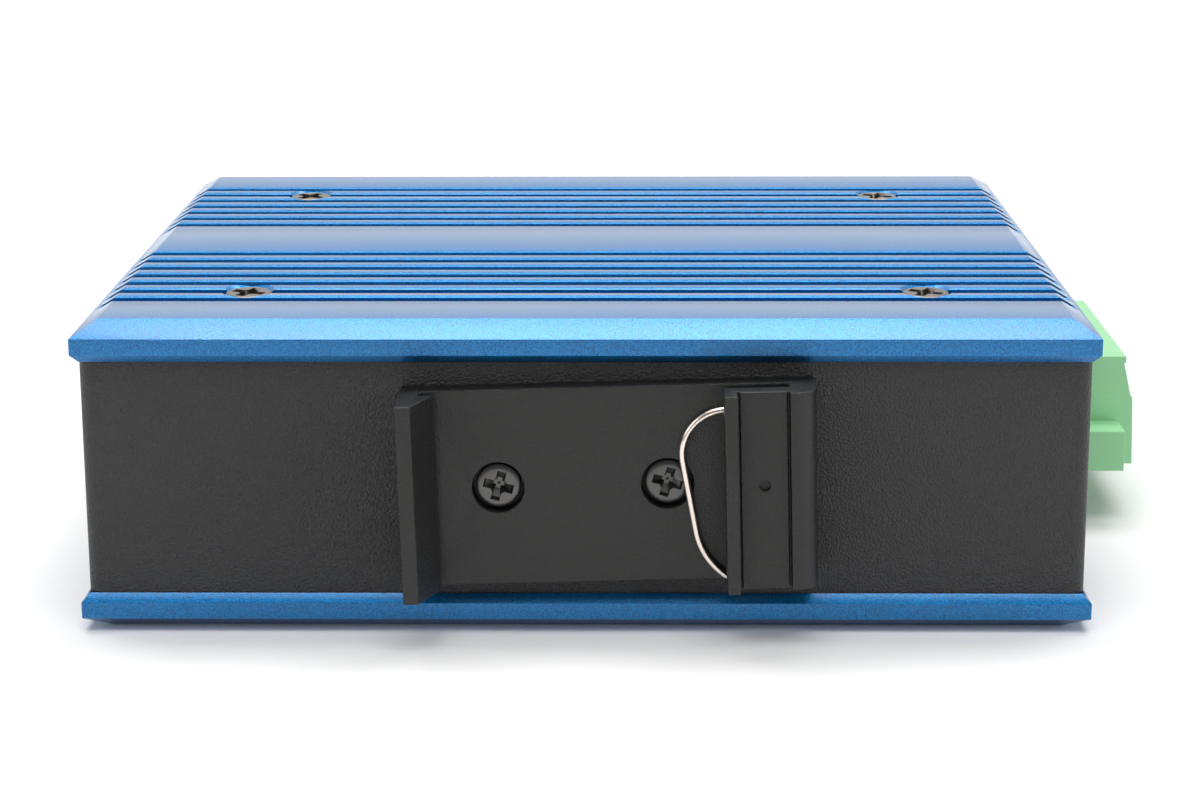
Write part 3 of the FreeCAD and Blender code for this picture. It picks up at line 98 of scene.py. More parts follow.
def add_node(tree, kind, inputs=None, **settings):
    """A node with its settings, each named input joined to a socket or set to a value."""
    node = tree.nodes.new(kind)
    for name, value in settings.items():
        setattr(node, name, value)
    for name, value in (inputs or {}).items():
        if isinstance(value, bpy.types.NodeSocket):
            tree.links.new(value, node.inputs[name])
        else:
            node.inputs[name].default_value = value
    return node


print("black paint, linear:", [round(v, 3) for v in linear("#2C2C2D")])


# %% World and lamps
def mirror_ray(tree, light_path):
    """1 where a mirror or a clear part looks."""
    return add_node(tree, "ShaderNodeMath", {
        0: light_path.outputs["Is Glossy Ray"], 1: light_path.outputs["Is Transmission Ray"],
    }, operation="MAXIMUM").outputs[0]


world = bpy.data.worlds.new("white_studio")
bpy.context.scene.world = world
world.use_nodes = True
sky = world.node_tree
sky.nodes.clear()
paths = add_node(sky, "ShaderNodeLightPath")
direction = add_node(sky, "ShaderNodeTexCoord").outputs["Generated"]
forward = add_node(sky, "ShaderNodeSeparateXYZ", {0: direction}).outputs["Y"]
# A mirror sees the white wall ahead and a dim room behind the camera. Other light is a soft
# fill, and the eye itself sees plain white.
ROOM_BEHIND, WALL_AHEAD, SOFT_FILL = 0.22, 1.0, 0.3
room = add_node(sky, "ShaderNodeMapRange", {
    "Value": forward, "From Min": -0.35, "From Max": 0.15,
    "To Min": ROOM_BEHIND, "To Max": WALL_AHEAD,
}, interpolation_type="SMOOTHSTEP").outputs["Result"]
gathered = add_node(sky, "ShaderNodeMapRange", {
    "Value": mirror_ray(sky, paths), "To Min": SOFT_FILL, "To Max": room,
}).outputs["Result"]
strength = add_node(sky, "ShaderNodeMapRange", {
    "Value": paths.outputs["Is Camera Ray"], "To Min": gathered, "To Max": 1.0,
}).outputs["Result"]
backdrop = add_node(sky, "ShaderNodeBackground", {
    "Color": linear("#FFFFFF"), "Strength": strength,
})
add_node(sky, "ShaderNodeOutputWorld", {"Surface": backdrop.outputs[0]})


def soft_lamp(name, place, target, width, height, power):
    """A rectangular lamp aimed at a target. Places are in metres, the power is in watts."""
    lamp = bpy.data.objects.new(name, bpy.data.lights.new(name, "AREA"))
    lamp.data.shape = "RECTANGLE"
    lamp.data.size, lamp.data.size_y = width, height
    lamp.data.energy = power
    lamp.location = place
    aim = Vector(target) - Vector(place)
    lamp.rotation_euler = aim.to_track_quat("-Z", "Y").to_euler()
    bpy.context.collection.objects.link(lamp)


soft_lamp("overhead_softbox", (0, 0.16, 0.78), (0, 0.06, 0), 0.8, 0.3, 5.4)
soft_lamp("front_softbox", (0.0, -0.4, 0.92), (0, 0, 0.02), 0.8, 0.4, 4.2)
soft_lamp("left_softbox", (-0.8, -0.5, 0.4), (0, 0, 0.02), 0.5, 0.5, 2.0)
soft_lamp("right_softbox", (0.8, -0.4, 0.35), (0, 0, 0.02), 0.5, 0.5, 1.8)

# %% Floor
TABLE_SIDE, TABLE_FRONT, TABLE_BACK = 3.0, -0.25, 3.0
floor_mesh = bpy.data.meshes.new("floor")
floor_mesh.from_pydata([
    (-TABLE_SIDE, TABLE_FRONT, 0), (TABLE_SIDE, TABLE_FRONT, 0),
    (TABLE_SIDE, TABLE_BACK, 0), (-TABLE_SIDE, TABLE_BACK, 0),
], [], [(0, 1, 2, 3)])
floor = bpy.data.objects.new("floor", floor_mesh)
bpy.context.collection.objects.link(floor)
table = bpy.data.materials.new("matt white table")
table.use_nodes = True
tree = table.node_tree
tree.nodes.clear()
paths = add_node(tree, "ShaderNodeLightPath")
matt = add_node(tree, "ShaderNodeBsdfDiffuse", {"Color": linear("#F2F2F2")})
eye = add_node(tree, "ShaderNodeMath", {
    0: paths.outputs["Is Camera Ray"], 1: mirror_ray(tree, paths),
}, operation="MAXIMUM").outputs[0]
# Close to the switch the table is only lit, and keeps the shadow. Farther away it also glows a
# little, to the eye and to mirrors, until it passes into the white wall.
GLOW_STARTS, GLOW_FULL, GLOW = 0.06, 0.4, 0.6
spot = add_node(tree, "ShaderNodeTexCoord").outputs["Object"]
away = add_node(tree, "ShaderNodeVectorMath", {0: spot}, operation="LENGTH").outputs["Value"]
far = add_node(tree, "ShaderNodeMapRange", {
    "Value": away, "From Min": GLOW_STARTS, "From Max": GLOW_FULL, "To Min": 0.0, "To Max": GLOW,
}, interpolation_type="SMOOTHSTEP").outputs["Result"]
seen = add_node(tree, "ShaderNodeMath", {0: eye, 1: far}, operation="MULTIPLY").outputs[0]
glow = add_node(tree, "ShaderNodeEmission", {"Strength": seen})
both = add_node(tree, "ShaderNodeAddShader", {0: matt.outputs[0], 1: glow.outputs[0]})
add_node(tree, "ShaderNodeOutputMaterial", {"Surface": both.outputs[0]})
floor_mesh.materials.append(table)
print("floor is", floor.dimensions.x, "m wide")


# %% [markdown]
# ## Materials
# Each finish starts from what the real one is and how it was made. A shared function gives it
# a skin of fine grain: a noise of a stated grain size drives a bump, and shifts the colour a
# little from grain to grain, as on anything blasted, sprayed or moulded.

# %% A finish with grain
PATCH = 25
NOISE_LOW, NOISE_HIGH = 0.3, 0.7


def finish(name, colour, roughness, metallic=0.0, grain=0.3, bump=0.01, shift=0.0, wear=0.0,
           **sockets):
    """A Principled material with a skin of grain.

    Grain is the noise's size in millimetres. Bump is the noise's whole range in millimetres, and
    the relief is only the part of it that the noise swings over. Shift and wear are shares of the
    colour and of the roughness.
    """
    material = bpy.data.materials.new(name)
    material.use_nodes = True
    tree = material.node_tree
    tree.nodes.clear()
    place = add_node(tree, "ShaderNodeTexCoord").outputs["Object"]
    fine = add_node(tree, "ShaderNodeTexNoise", {
        "Vector": place, "Scale": 1 / (grain * MM), "Detail": 2.0, "Roughness": 0.6,
    })
    patches = add_node(tree, "ShaderNodeTexNoise", {
        "Vector": place, "Scale": 1 / (PATCH * MM), "Detail": 3.0,
    })
    relief = add_node(tree, "ShaderNodeBump", {
        "Height": fine.outputs["Fac"], "Distance": bump * MM, "Strength": 1.0,
    })
    speckle = add_node(tree, "ShaderNodeMapRange", {
        "Value": fine.outputs["Fac"], "From Min": NOISE_LOW, "From Max": NOISE_HIGH,
        "To Min": 1 - shift, "To Max": 1 + shift,
    })
    tint = add_node(tree, "ShaderNodeMix", {
        "Factor": 1.0, "A": linear(colour), "B": speckle.outputs["Result"],
    }, data_type="RGBA", blend_type="MULTIPLY")
    gloss = add_node(tree, "ShaderNodeMapRange", {
        "Value": patches.outputs["Fac"], "From Min": NOISE_LOW, "From Max": NOISE_HIGH,
        "To Min": roughness * (1 - wear), "To Max": roughness * (1 + wear),
    })
    shader = add_node(tree, "ShaderNodeBsdfPrincipled", {
        "Base Color": tint.outputs["Result"], "Roughness": gloss.outputs["Result"],
        "Normal": relief.outputs["Normal"], "Metallic": metallic, **sockets,
    })
    add_node(tree, "ShaderNodeOutputMaterial", {"Surface": shader.outputs[0]})
    return material


# %% [markdown]
# The covers are extruded aluminium, blasted and anodised blue. The dye sits in a clear oxide
# layer over bright metal, so the blue is the metal's own reflection and a coat adds a white
# one, which takes over where the eye grazes the top.

# %% Metals
# Blasted, then anodised: a satin blue that turns pale at a low angle. The blasting is too fine to
# show, so its grain is drawn coarser, at 0.16 mm, which leaves a faint sparkle.
BLUE = finish("anodised aluminium, blue", "#0A6DA9", 0.42, metallic=1.0, grain=0.16, bump=0.06,
              shift=0.55, wear=0.08,
              **{"Coat Weight": 1.0, "Coat Roughness": 0.22, "Coat IOR": 1.42})
# Anodised black: a dark grey with soft, weak highlights. Its grain is drawn coarser as well.
BLACK = finish("anodised aluminium, black", "#353534", 0.4, metallic=0.9, grain=0.22, bump=0.16,
               shift=0.1, wear=0.12, **{"Coat Weight": 0.3, "Coat Roughness": 0.35})
# Drawn through a die: bright, with long clear highlights along the wire.
SPRING = finish("drawn spring steel", "#E2D6CD", 0.22, metallic=1.0, grain=0.4, bump=0.002,
                shift=0.05, wear=0.3)
# Zinc plated: a bright grey, a little cloudy.
ZINC = finish("zinc plated steel", "#B4B3AE", 0.3, metallic=1.0, grain=0.5, bump=0.003,
              shift=0.06, wear=0.25)
# Nickel plated: a warmer and darker grey than zinc.
NICKEL = finish("nickel plated steel", "#7C756E", 0.32, metallic=1.0, grain=0.4, bump=0.004,
                shift=0.06, wear=0.2)
# Black zinc: dark, yet it glints like metal along its edges.
BLACK_ZINC = finish("black zinc plated steel", "#5E5D5C", 0.36, metallic=0.9, grain=0.25,
                    bump=0.012, shift=0.1, wear=0.2)
# Tin plated: a soft, warm grey.
TIN = finish("tin plated brass", "#B9B29C", 0.28, metallic=1.0, grain=0.5, bump=0.002,
             shift=0.05, wear=0.2)
# Gold plated: a thin warm glint deep in each port.
GOLD = finish("gold plated bronze", "#D8A850", 0.22, metallic=1.0, grain=0.5, bump=0.001,
              shift=0.04, wear=0.2)
# A can in a shrunk plastic sleeve: smooth and dark, and no metal to the eye.
CAN = finish("sleeved aluminium can", "#3B3B45", 0.4, grain=0.6, bump=0.004, shift=0.05, wear=0.2)
print("metals:", [m.name for m in (BLUE, BLACK, SPRING, ZINC, NICKEL, BLACK_ZINC, TIN, GOLD)])

# %% [markdown]
# The case is folded steel with a fine black powder coat. The powder melts into a skin like an
# orange's, with bumps about 0.3 mm apart, so its highlights are broad and break up. The terminal
# is moulded green nylon, the port row black plastic.

# %% Paint and plastics
# Sprayed and baked powder: charcoal, with a broken sheen.
POWDER = finish("powder coated steel", "#2C2C2D", 0.46, grain=0.28, bump=0.42, shift=0.3,
                wear=0.06)
# Moulded nylon: pale green and waxy, because light goes a little way in.
NYLON = finish("moulded green nylon", "#90CD98", 0.4, grain=0.25, bump=0.004, shift=0.03,
               wear=0.1, **{"Subsurface Weight": 0.08, "Subsurface Scale": 0.002})
# Moulded polyester: nearly black, with a dull sheen.
PORT_BLACK = finish("moulded black polyester", "#161617", 0.45, grain=0.25, bump=0.004,
                    shift=0.05, wear=0.1)
# Moulded epoxy, as on a chip: flat and dark. Its grain is too fine to show and drawn at 0.12 mm.
EPOXY = finish("moulded epoxy", "#202022", 0.6, grain=0.12, bump=0.004, shift=0.08, wear=0.1)
# Lacquer over woven glass: a glossy dark green.
LAMINATE = finish("solder resist on glass laminate", "#1D5B3A", 0.35, grain=0.5, bump=0.003,
                  shift=0.08, wear=0.15)
# Soft silicone: blue-grey, with hardly any shine.
PAD = finish("soft silicone pad", "#7F96A6", 0.8, grain=0.3, bump=0.01, shift=0.08, wear=0.1)
# Clear polycarbonate: a milky, glassy window.
LENS = finish("clear polycarbonate", "#DCE6DA", 0.15, grain=1.0, bump=0.0005, shift=0.02,
              wear=0.1, **{"Transmission Weight": 0.6, "IOR": 1.58})
print("plastics:", [m.name for m in (POWDER, NYLON, PORT_BLACK, EPOXY, LAMINATE, PAD, LENS)])

# %% [markdown]
# Most pieces keep the engineering model's own mesh, which is exact. They only need their finish.

# %% Finishes on the frame's pieces
FINISHES = {
    POWDER: ["housing_shell", "front_panel"],
    ZINC: ["port_shield", "flange_nuts", "plug_clamp_screws", "plug_flange_screws", "clip_nuts",
           "earth_washer", "earth_nut", "crystal"],
    TIN: ["corner_standoffs", "board_spacers", "header_pins", "plug_clamp_cages", "plug_contacts"],
    PORT_BLACK: ["port_housing"],
    EPOXY: ["switch_chip", "regulator_chip", "power_inductor", "alarm_relay"],
    LAMINATE: ["circuit_board"],
    PAD: ["thermal_pad"],
    CAN: ["bulk_capacitor_1", "bulk_capacitor_2"],
    LENS: ["status_light_pipes", "status_leds"],
    GOLD: [],
}
PORTS = 5
for number in range(1, PORTS + 1):
    FINISHES[GOLD] += [f"port_contacts_{number}"]
    FINISHES[LENS] += [f"port_lamps_{number}"]
    FINISHES[EPOXY] += [f"magnetics_{number}"]
for material, nodes in FINISHES.items():
    for node in nodes:
        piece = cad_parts[node]
        for slot in piece.material_slots:
            slot.material = material
print("finished:", sum(len(nodes) for nodes in FINISHES.values()), "pieces")


# %% [markdown]
# ## Softened pieces
# A pressed, sawn or moulded piece has no knife edges: a tenth or two of a millimetre is gone
# from each, and that thin line catches the light. A copy of the exact mesh is merged, its flat
# faces are joined, and a bevel takes the edges off.

# %% Soften a piece
def adopt(piece, material, nodes):
    """Give a finished mesh its material, and let it stand for the frame's own nodes."""
    piece.data.materials.clear()
    piece.data.materials.append(material)
    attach(piece, "root")
    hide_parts(*nodes)


def frozen(piece):
    """The piece with its modifiers applied, as a plain mesh."""
    graph = bpy.context.evaluated_depsgraph_get()
    mesh = bpy.data.meshes.new_from_object(piece.evaluated_get(graph))
    name = piece.name
    bpy.data.objects.remove(piece)
    plain = bpy.data.objects.new(name, mesh)
    bpy.context.collection.objects.link(plain)
    return plain


def crisp(mesh, degrees):
    """Smooth shading, with edges sharper than the angle kept sharp."""
    mesh.shade_smooth()
    mesh.set_sharp_from_angle(angle=math.radians(degrees))


def join_flats(work):
    """Merge doubled points, and join the faces that lie in one plane."""
    bmesh.ops.remove_doubles(work, verts=work.verts, dist=0.002 * MM)
    bmesh.ops.dissolve_limit(work, angle_limit=math.radians(0.5), verts=work.verts,
                             edges=work.edges)


def edges_off(piece, width, angle):
    """The piece as a plain mesh, with its edges sharper than the angle bevelled."""
    bevel = piece.modifiers.new("edge", "BEVEL")
    bevel.width = width * MM
    bevel.segments = 2
    bevel.limit_method = "ANGLE"
    bevel.angle_limit = math.radians(angle)
    return frozen(piece)


def clean_copy(node, name):
    """A copy of a node's mesh with its points merged and its flat faces joined."""
    mesh = bpy.data.meshes.new(name)
    work = bmesh.new()
    work.from_mesh(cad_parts[node].data)
    join_flats(work)
    work.to_mesh(mesh)
    work.free()
    copy = bpy.data.objects.new(name, mesh)
    bpy.context.collection.objects.link(copy)
    return copy


def soften(node, name, width, material):
    """A node's mesh with a bevel of the given width in millimetres, in the node's place."""
    piece = edges_off(clean_copy(node, name), width, angle=35)
    crisp(piece.data, degrees=20)
    adopt(piece, material, [node])
    return piece


for node, name, width, material in (
    ("din_clip", "rail_clip", 0.18, BLACK),
    ("terminal_plug", "plug_body", 0.15, NYLON),
    ("terminal_header", "header_body", 0.12, NYLON),
):
    piece = soften(node, name, width, material)
    print(name, len(piece.data.polygons), "faces")

# %% [markdown]
# ## The grooved covers
# A cover is sawn from a grooved extrusion, and its two ends are milled to match its long
# edges. The grooves follow a rule, so Geometry Nodes set them out: one bar with a groove's
# section is repeated along a line, and a boolean takes the row of bars out of a plain blank.

# %% Plain helpers for solids
def solid(name, work):
    """A new object from a bmesh, with its faces turned outwards."""
    bmesh.ops.recalc_face_normals(work, faces=work.faces)
    mesh = bpy.data.meshes.new(name)
    work.to_mesh(mesh)
    work.free()
    piece = bpy.data.objects.new(name, mesh)
    bpy.context.collection.objects.link(piece)
    return piece


def hull_of_rectangles(name, levels):
    """A convex solid through rectangles given as (z, half length, half depth), in millimetres."""
    work = bmesh.new()
    for z, x, y in levels:
        for sx, sy in ((-1, -1), (1, -1), (1, 1), (-1, 1)):
            work.verts.new((x * sx * MM, y * sy * MM, z * MM))
    bmesh.ops.convex_hull(work, input=work.verts)
    bmesh.ops.dissolve_limit(work, angle_limit=math.radians(1), verts=work.verts,
                             edges=work.edges)
    return solid(name, work)


def extruded_along_x(name, section, half_length):
    """A closed outline of (y, z) points drawn out along X, in millimetres."""
    work = bmesh.new()
    rings = [[work.verts.new((x * MM, y * MM, z * MM)) for y, z in section]
             for x in (-half_length, half_length)]
    work.faces.new(rings[0])
    work.faces.new(rings[1])
    for index in range(len(section)):
        following = (index + 1) % len(section)
        work.faces.new((rings[0][index], rings[0][following], rings[1][following],
                        rings[1][index]))
    return solid(name, work)


HALF_X, HALF_Y = cover_high.x, cover_high.y
COVER_EDGE = cover_high.z - cover_low.z
PITCH, WIDTH, DEPTH, COUNT = 4.0, 2.0, 1.3, 7
FIRST_INSET = 12.3
FIRST = HALF_Y - FIRST_INSET
print("cover blank:", HALF_X * 2, HALF_Y * 2, COVER_EDGE)

# %% One groove's section
def groove_section():
    """A groove with rounded floor corners and bevelled rims, its floor upwards."""
    half, rim, fall, corner, above = WIDTH / 2, 0.45, 0.2, 0.25, 0.5
    side = [(half + rim, -above), (half + rim, 0.0)]
    side += [(half + rim * (1 - t) ** 1.6, fall * t) for t in (0.35, 0.7, 1.0)]
    for step in range(4):
        turn = math.radians(30 * step)
        side.append((half - corner * (1 - math.cos(turn)), DEPTH - corner * (1 - math.sin(turn))))
    return side + [(-y, z) for y, z in reversed(side)]


bar = extruded_along_x("groove_bar", groove_section(), HALF_X * 1.1)
print("groove section:", len(groove_section()), "points")


# %% The tree that cuts a row of grooves
def tree_input(tree, name, kind, value=None):
    """A named input of a geometry tree, with its default."""
    socket = tree.interface.new_socket(name=name, in_out="INPUT", socket_type=kind)
    if value is not None:
        socket.default_value = value
    return socket


def groove_tree():
    """Two mirrored rows of groove bars, taken out of a blank."""
    tree = bpy.data.node_groups.new("row_of_grooves", "GeometryNodeTree")
    tree_input(tree, "Blank", "NodeSocketGeometry")
    tree_input(tree, "Groove bar", "NodeSocketObject")
    tree_input(tree, "Grooves", "NodeSocketInt", COUNT)
    tree_input(tree, "Pitch", "NodeSocketFloat", PITCH * MM)
    tree_input(tree, "First groove", "NodeSocketFloat", FIRST * MM)
    tree_input(tree, "Finish", "NodeSocketMaterial")
    tree.interface.new_socket(name="Cover", in_out="OUTPUT", socket_type="NodeSocketGeometry")
    given = add_node(tree, "NodeGroupInput")
    tool = add_node(tree, "GeometryNodeObjectInfo", {"Object": given.outputs["Groove bar"]})
    both = []
    for side in (-1, 1):
        start = add_node(tree, "ShaderNodeMath", {
            0: given.outputs["First groove"], 1: side,
        }, operation="MULTIPLY")
        step = add_node(tree, "ShaderNodeMath", {
            0: given.outputs["Pitch"], 1: -side,
        }, operation="MULTIPLY")
        first = add_node(tree, "ShaderNodeCombineXYZ", {"Y": start.outputs[0]})
        along = add_node(tree, "ShaderNodeCombineXYZ", {"Y": step.outputs[0]})
        line = add_node(tree, "GeometryNodeMeshLine", {
            "Count": given.outputs["Grooves"], "Start Location": first.outputs[0],
            "Offset": along.outputs[0],
        })
        both.append(add_node(tree, "GeometryNodeInstanceOnPoints", {
            "Points": line.outputs["Mesh"], "Instance": tool.outputs["Geometry"],
        }))
    bars = add_node(tree, "GeometryNodeJoinGeometry")
    for row in both:
        tree.links.new(row.outputs["Instances"], bars.inputs["Geometry"])
    bars = add_node(tree, "GeometryNodeRealizeInstances", {"Geometry": bars.outputs[0]})
    cut = add_node(tree, "GeometryNodeMeshBoolean", {
        "Mesh 1": given.outputs["Blank"], "Mesh 2": bars.outputs["Geometry"],
    }, operation="DIFFERENCE", solver="EXACT")
    real = add_node(tree, "GeometryNodeRealizeInstances", {"Geometry": cut.outputs["Mesh"]})
    painted = add_node(tree, "GeometryNodeSetMaterial", {
        "Geometry": real.outputs["Geometry"], "Material": given.outputs["Finish"],
    })
    add_node(tree, "NodeGroupOutput", {0: painted.outputs["Geometry"]})
    return tree


def run_tree(piece, tree, **values):
    """Put a geometry tree on a piece, set its named inputs, and freeze the result."""
    modifier = piece.modifiers.new(tree.name, "NODES")
    modifier.node_group = tree
    sockets = {s.name: s.identifier for s in tree.interface.items_tree if s.in_out == "INPUT"}
    for name, value in values.items():
        modifier[sockets[name.replace("_", " ")]] = value
    return frozen(piece)


GROOVES = groove_tree()
print("groove tree:", len(GROOVES.nodes), "nodes")


# %% [markdown]
# The blank's inside has a shallow relief and a slot that takes the case's walls, and each
# corner has a countersunk hole. They come from plain boolean cuts after the grooves.

# %% Cut and bevel a cover
def cut_away(piece, tools):
    """The piece less every tool, as a plain mesh."""
    for tool in tools:
        cut = piece.modifiers.new("cut", "BOOLEAN")
        cut.object = tool
        cut.solver = "EXACT"
    plain = frozen(piece)
    for tool in tools:
        bpy.data.objects.remove(tool)
    return plain


def turned(name, profile, place, segments=48):
    """A solid turned about Z from (radius, z) points, at a place, in millimetres."""
    work = bmesh.new()
    rings = []
    for radius, z in profile:
        if radius < 1e-6:
            rings.append([work.verts.new(Vector((place[0], place[1], place[2] + z)) * MM)])
            continue
        ring = []
        for step in range(segments):
            angle = 2 * math.pi * step / segments
            spot = (place[0] + radius * math.cos(angle), place[1] + radius * math.sin(angle),
                    place[2] + z)
            ring.append(work.verts.new(Vector(spot) * MM))
        rings.append(ring)
    for low, high in zip(rings, rings[1:]):
        for step in range(segments):
            following = (step + 1) % segments
            if len(low) == 1:
                work.faces.new((low[0], high[following], high[step]))
            elif len(high) == 1:
                work.faces.new((low[step], low[following], high[0]))
            else:
                work.faces.new((low[step], low[following], high[following], high[step]))
    return solid(name, work)


CHAMFER, CHAMFER_HEIGHT = 2.8, 1.7
INNER_BEVEL, INNER_BEVEL_HEIGHT = 0.85, 0.95
RIM, PLATE = 6, 3.0
SHEET, WALL_PLAY, SLOT_DEPTH = 1.0, 0.15, 0.6
SCREW_X, SCREW_Y = 39.4, FIRST - PITCH
CORNERS = [(x, y) for x in (-SCREW_X, SCREW_X) for y in (-SCREW_Y, SCREW_Y)]
SINK_RADIUS, HOLE_RADIUS, HOLE_END = 3.2, 1.7, 8
BEYOND = 1  # a cutting tool stands this far out of the face it cuts


def wall_slot(inside, outside, floor):
    """The ring between two rectangles, as a cutting tool."""
    top = COVER_EDGE + BEYOND
    outer = hull_of_rectangles("outer", [(floor, *outside), (top, *outside)])
    inner = hull_of_rectangles("inner", [(floor - BEYOND, *inside), (top + BEYOND, *inside)])
    return cut_away(outer, [inner])


def screw_hole(x, y):
    """A countersunk hole, as a cutting tool."""
    return turned("hole", [
        (0, -BEYOND), (SINK_RADIUS + BEYOND, -BEYOND), (SINK_RADIUS, 0),
        (HOLE_RADIUS, SINK_RADIUS - HOLE_RADIUS), (HOLE_RADIUS, HOLE_END), (0, HOLE_END),
    ], (x, y, 0))


def make_cover(name, node, flip):
    """One grooved cover, drawn with its grooves downwards and turned over if asked."""
    blank = hull_of_rectangles(name, [
        (0.0, HALF_X - CHAMFER, HALF_Y - CHAMFER), (CHAMFER_HEIGHT, HALF_X, HALF_Y),
        (COVER_EDGE - INNER_BEVEL_HEIGHT, HALF_X, HALF_Y),
        (COVER_EDGE, HALF_X - INNER_BEVEL, HALF_Y - INNER_BEVEL),
    ])
    relief = hull_of_rectangles("relief", [
        (PLATE, HALF_X - RIM, HALF_Y - RIM), (COVER_EDGE + BEYOND, HALF_X - RIM, HALF_Y - RIM),
    ])
    wall = (wall_high.x, wall_high.y)
    slot = wall_slot([w - SHEET - WALL_PLAY for w in wall], [w + WALL_PLAY for w in wall],
                     COVER_EDGE - SLOT_DEPTH)
    holes = [screw_hole(x, y) for x, y in CORNERS]
    cover = run_tree(blank, GROOVES, Groove_bar=bar, Finish=BLUE)
    cover = cut_away(cover, [relief, slot] + holes)
    work = bmesh.new()
    work.from_mesh(cover.data)
    join_flats(work)
    work.to_mesh(cover.data)
    work.free()
    cover = edges_off(cover, width=0.12, angle=25)
    if flip:
        over = Matrix.Rotation(math.pi, 4, "X")
        cover.data.transform(Matrix.Translation((0, 0, cover_high.z * MM)) @ over)
    crisp(cover.data, degrees=16)
    adopt(cover, BLUE, [node])
    print(name, len(cover.data.polygons), "faces")


make_cover("grooved_cover_top", "upper_cover", True)
make_cover("grooved_cover_base", "lower_cover", False)
bpy.data.objects.remove(bar)

# %% [markdown]
# ## Cross-head screws
# A screw is turned on a lathe, so its head and its thread are one profile spun about an axis.
# The cross in its head is pressed in with a punch whose four blades taper to a point. One screw
# of each kind is made, and Geometry Nodes sets its copies out on the points it is given.

# %% Make one screw
def thread_profile(radius, pitch, start, end):
    """Crests and roots down a shank, from the head's underside to its flat tip."""
    neck, tip = 0.4, 0.3
    root = radius - 0.5 * pitch
    z = start - neck
    points = [(root, z)]
    while z - pitch > end + tip:
        points += [(radius, z - pitch * 0.45), (radius, z - pitch * 0.55), (root, z - pitch)]
        z -= pitch
    return points + [(root, end), (0, end)]


def punch(reach, width, depth):
    """The tapered cross that is pressed into a head, its top at z = 0.2."""
    top = 0.2
    blades = []
    for turn in (0, 90):
        work = bmesh.new()
        # The blades narrow slowly at first, then fast to the point.
        for z, grow, half in ((top, 1.0, width / 2), (-depth * 0.55, 0.85, width * 0.46),
                              (-depth, 0.35, width * 0.25)):
            for sx, sy in ((-1, -1), (1, -1), (1, 1), (-1, 1)):
                work.verts.new((reach * grow * sx * MM, half * sy * MM, z * MM))
        bmesh.ops.convex_hull(work, input=work.verts)
        bmesh.ops.rotate(work, verts=work.verts, matrix=Matrix.Rotation(math.radians(turn), 3, "Z"))
        blades.append(solid("blade", work))
    cone = turned("cone", [(0, top), (width * 0.95, top), (width * 0.75, -depth * 0.5),
                           (0, -depth * 1.15)], (0, 0, 0), segments=24)
    return blades + [cone]


def make_screw(name, head, shank, pitch, length, reach, width, depth):
    """A screw with its head's top at z = 0 and its shank downwards."""
    underside = head[-1][1]
    profile = head + thread_profile(shank, pitch, underside, underside - length)
    screw = turned(name, profile, (0, 0, 0), segments=40)
    screw = cut_away(screw, punch(reach, width, depth))
    screw = edges_off(screw, width=0.05, angle=50)
    crisp(screw.data, degrees=30)
    return screw


# A head is its radius and height from the middle of its top outwards. A thread is its radius and
# pitch, and a cross is its reach, width and depth.
flat_head = [(0, 0), (2.5, 0), (2.65, -0.12), (1.5, -1.15)]
pan_head = [(0, 0), (1.5, -0.04), (2.1, -0.22), (2.5, -0.6), (2.7, -1.1), (2.7, -1.8)]
clip_head = [(0, 0), (1.9, 0), (2.28, -0.06), (2.48, -0.2), (2.55, -0.4), (2.55, -1.1)]
earth_head = [(0, 0), (2.2, -0.06), (3.0, -0.3), (3.5, -0.8), (3.8, -1.5), (3.8, -2.6)]
M3, M4 = (1.5, 0.5), (2.0, 0.7)
COVER_CROSS = (2.1, 1.2, 1.9)
SCREWS = {
    "base": make_screw("base_screw", flat_head, *M3, 8.85, *COVER_CROSS),
    "top": make_screw("top_screw", flat_head, *M3, 6.85, *COVER_CROSS),
    "panel": make_screw("panel_screw", pan_head, *M3, 5.0, 1.5, 0.75, 1.2),
    "clip": make_screw("clip_screw", clip_head, *M3, 6.0, 1.75, 1.05, 1.3),
    "earth": make_screw("earth_screw", earth_head, *M4, 6.0, 1.9, 0.9, 1.5),
}
print("screws:", {name: len(s.data.polygons) for name, s in SCREWS.items()})


# %% The tree that sets screws out
def points_mesh(name, spots):
    """Points to set screws on: each a place and a direction out of its head, in millimetres."""
    mesh = bpy.data.meshes.new(name)
    mesh.from_pydata([Vector(place) * MM for place, out in spots], [], [])
    axes = mesh.attributes.new("out", "FLOAT_VECTOR", "POINT")
    for index, (place, out) in enumerate(spots):
        axes.data[index].vector = out
    holder = bpy.data.objects.new(name, mesh)
    bpy.context.collection.objects.link(holder)
    return holder


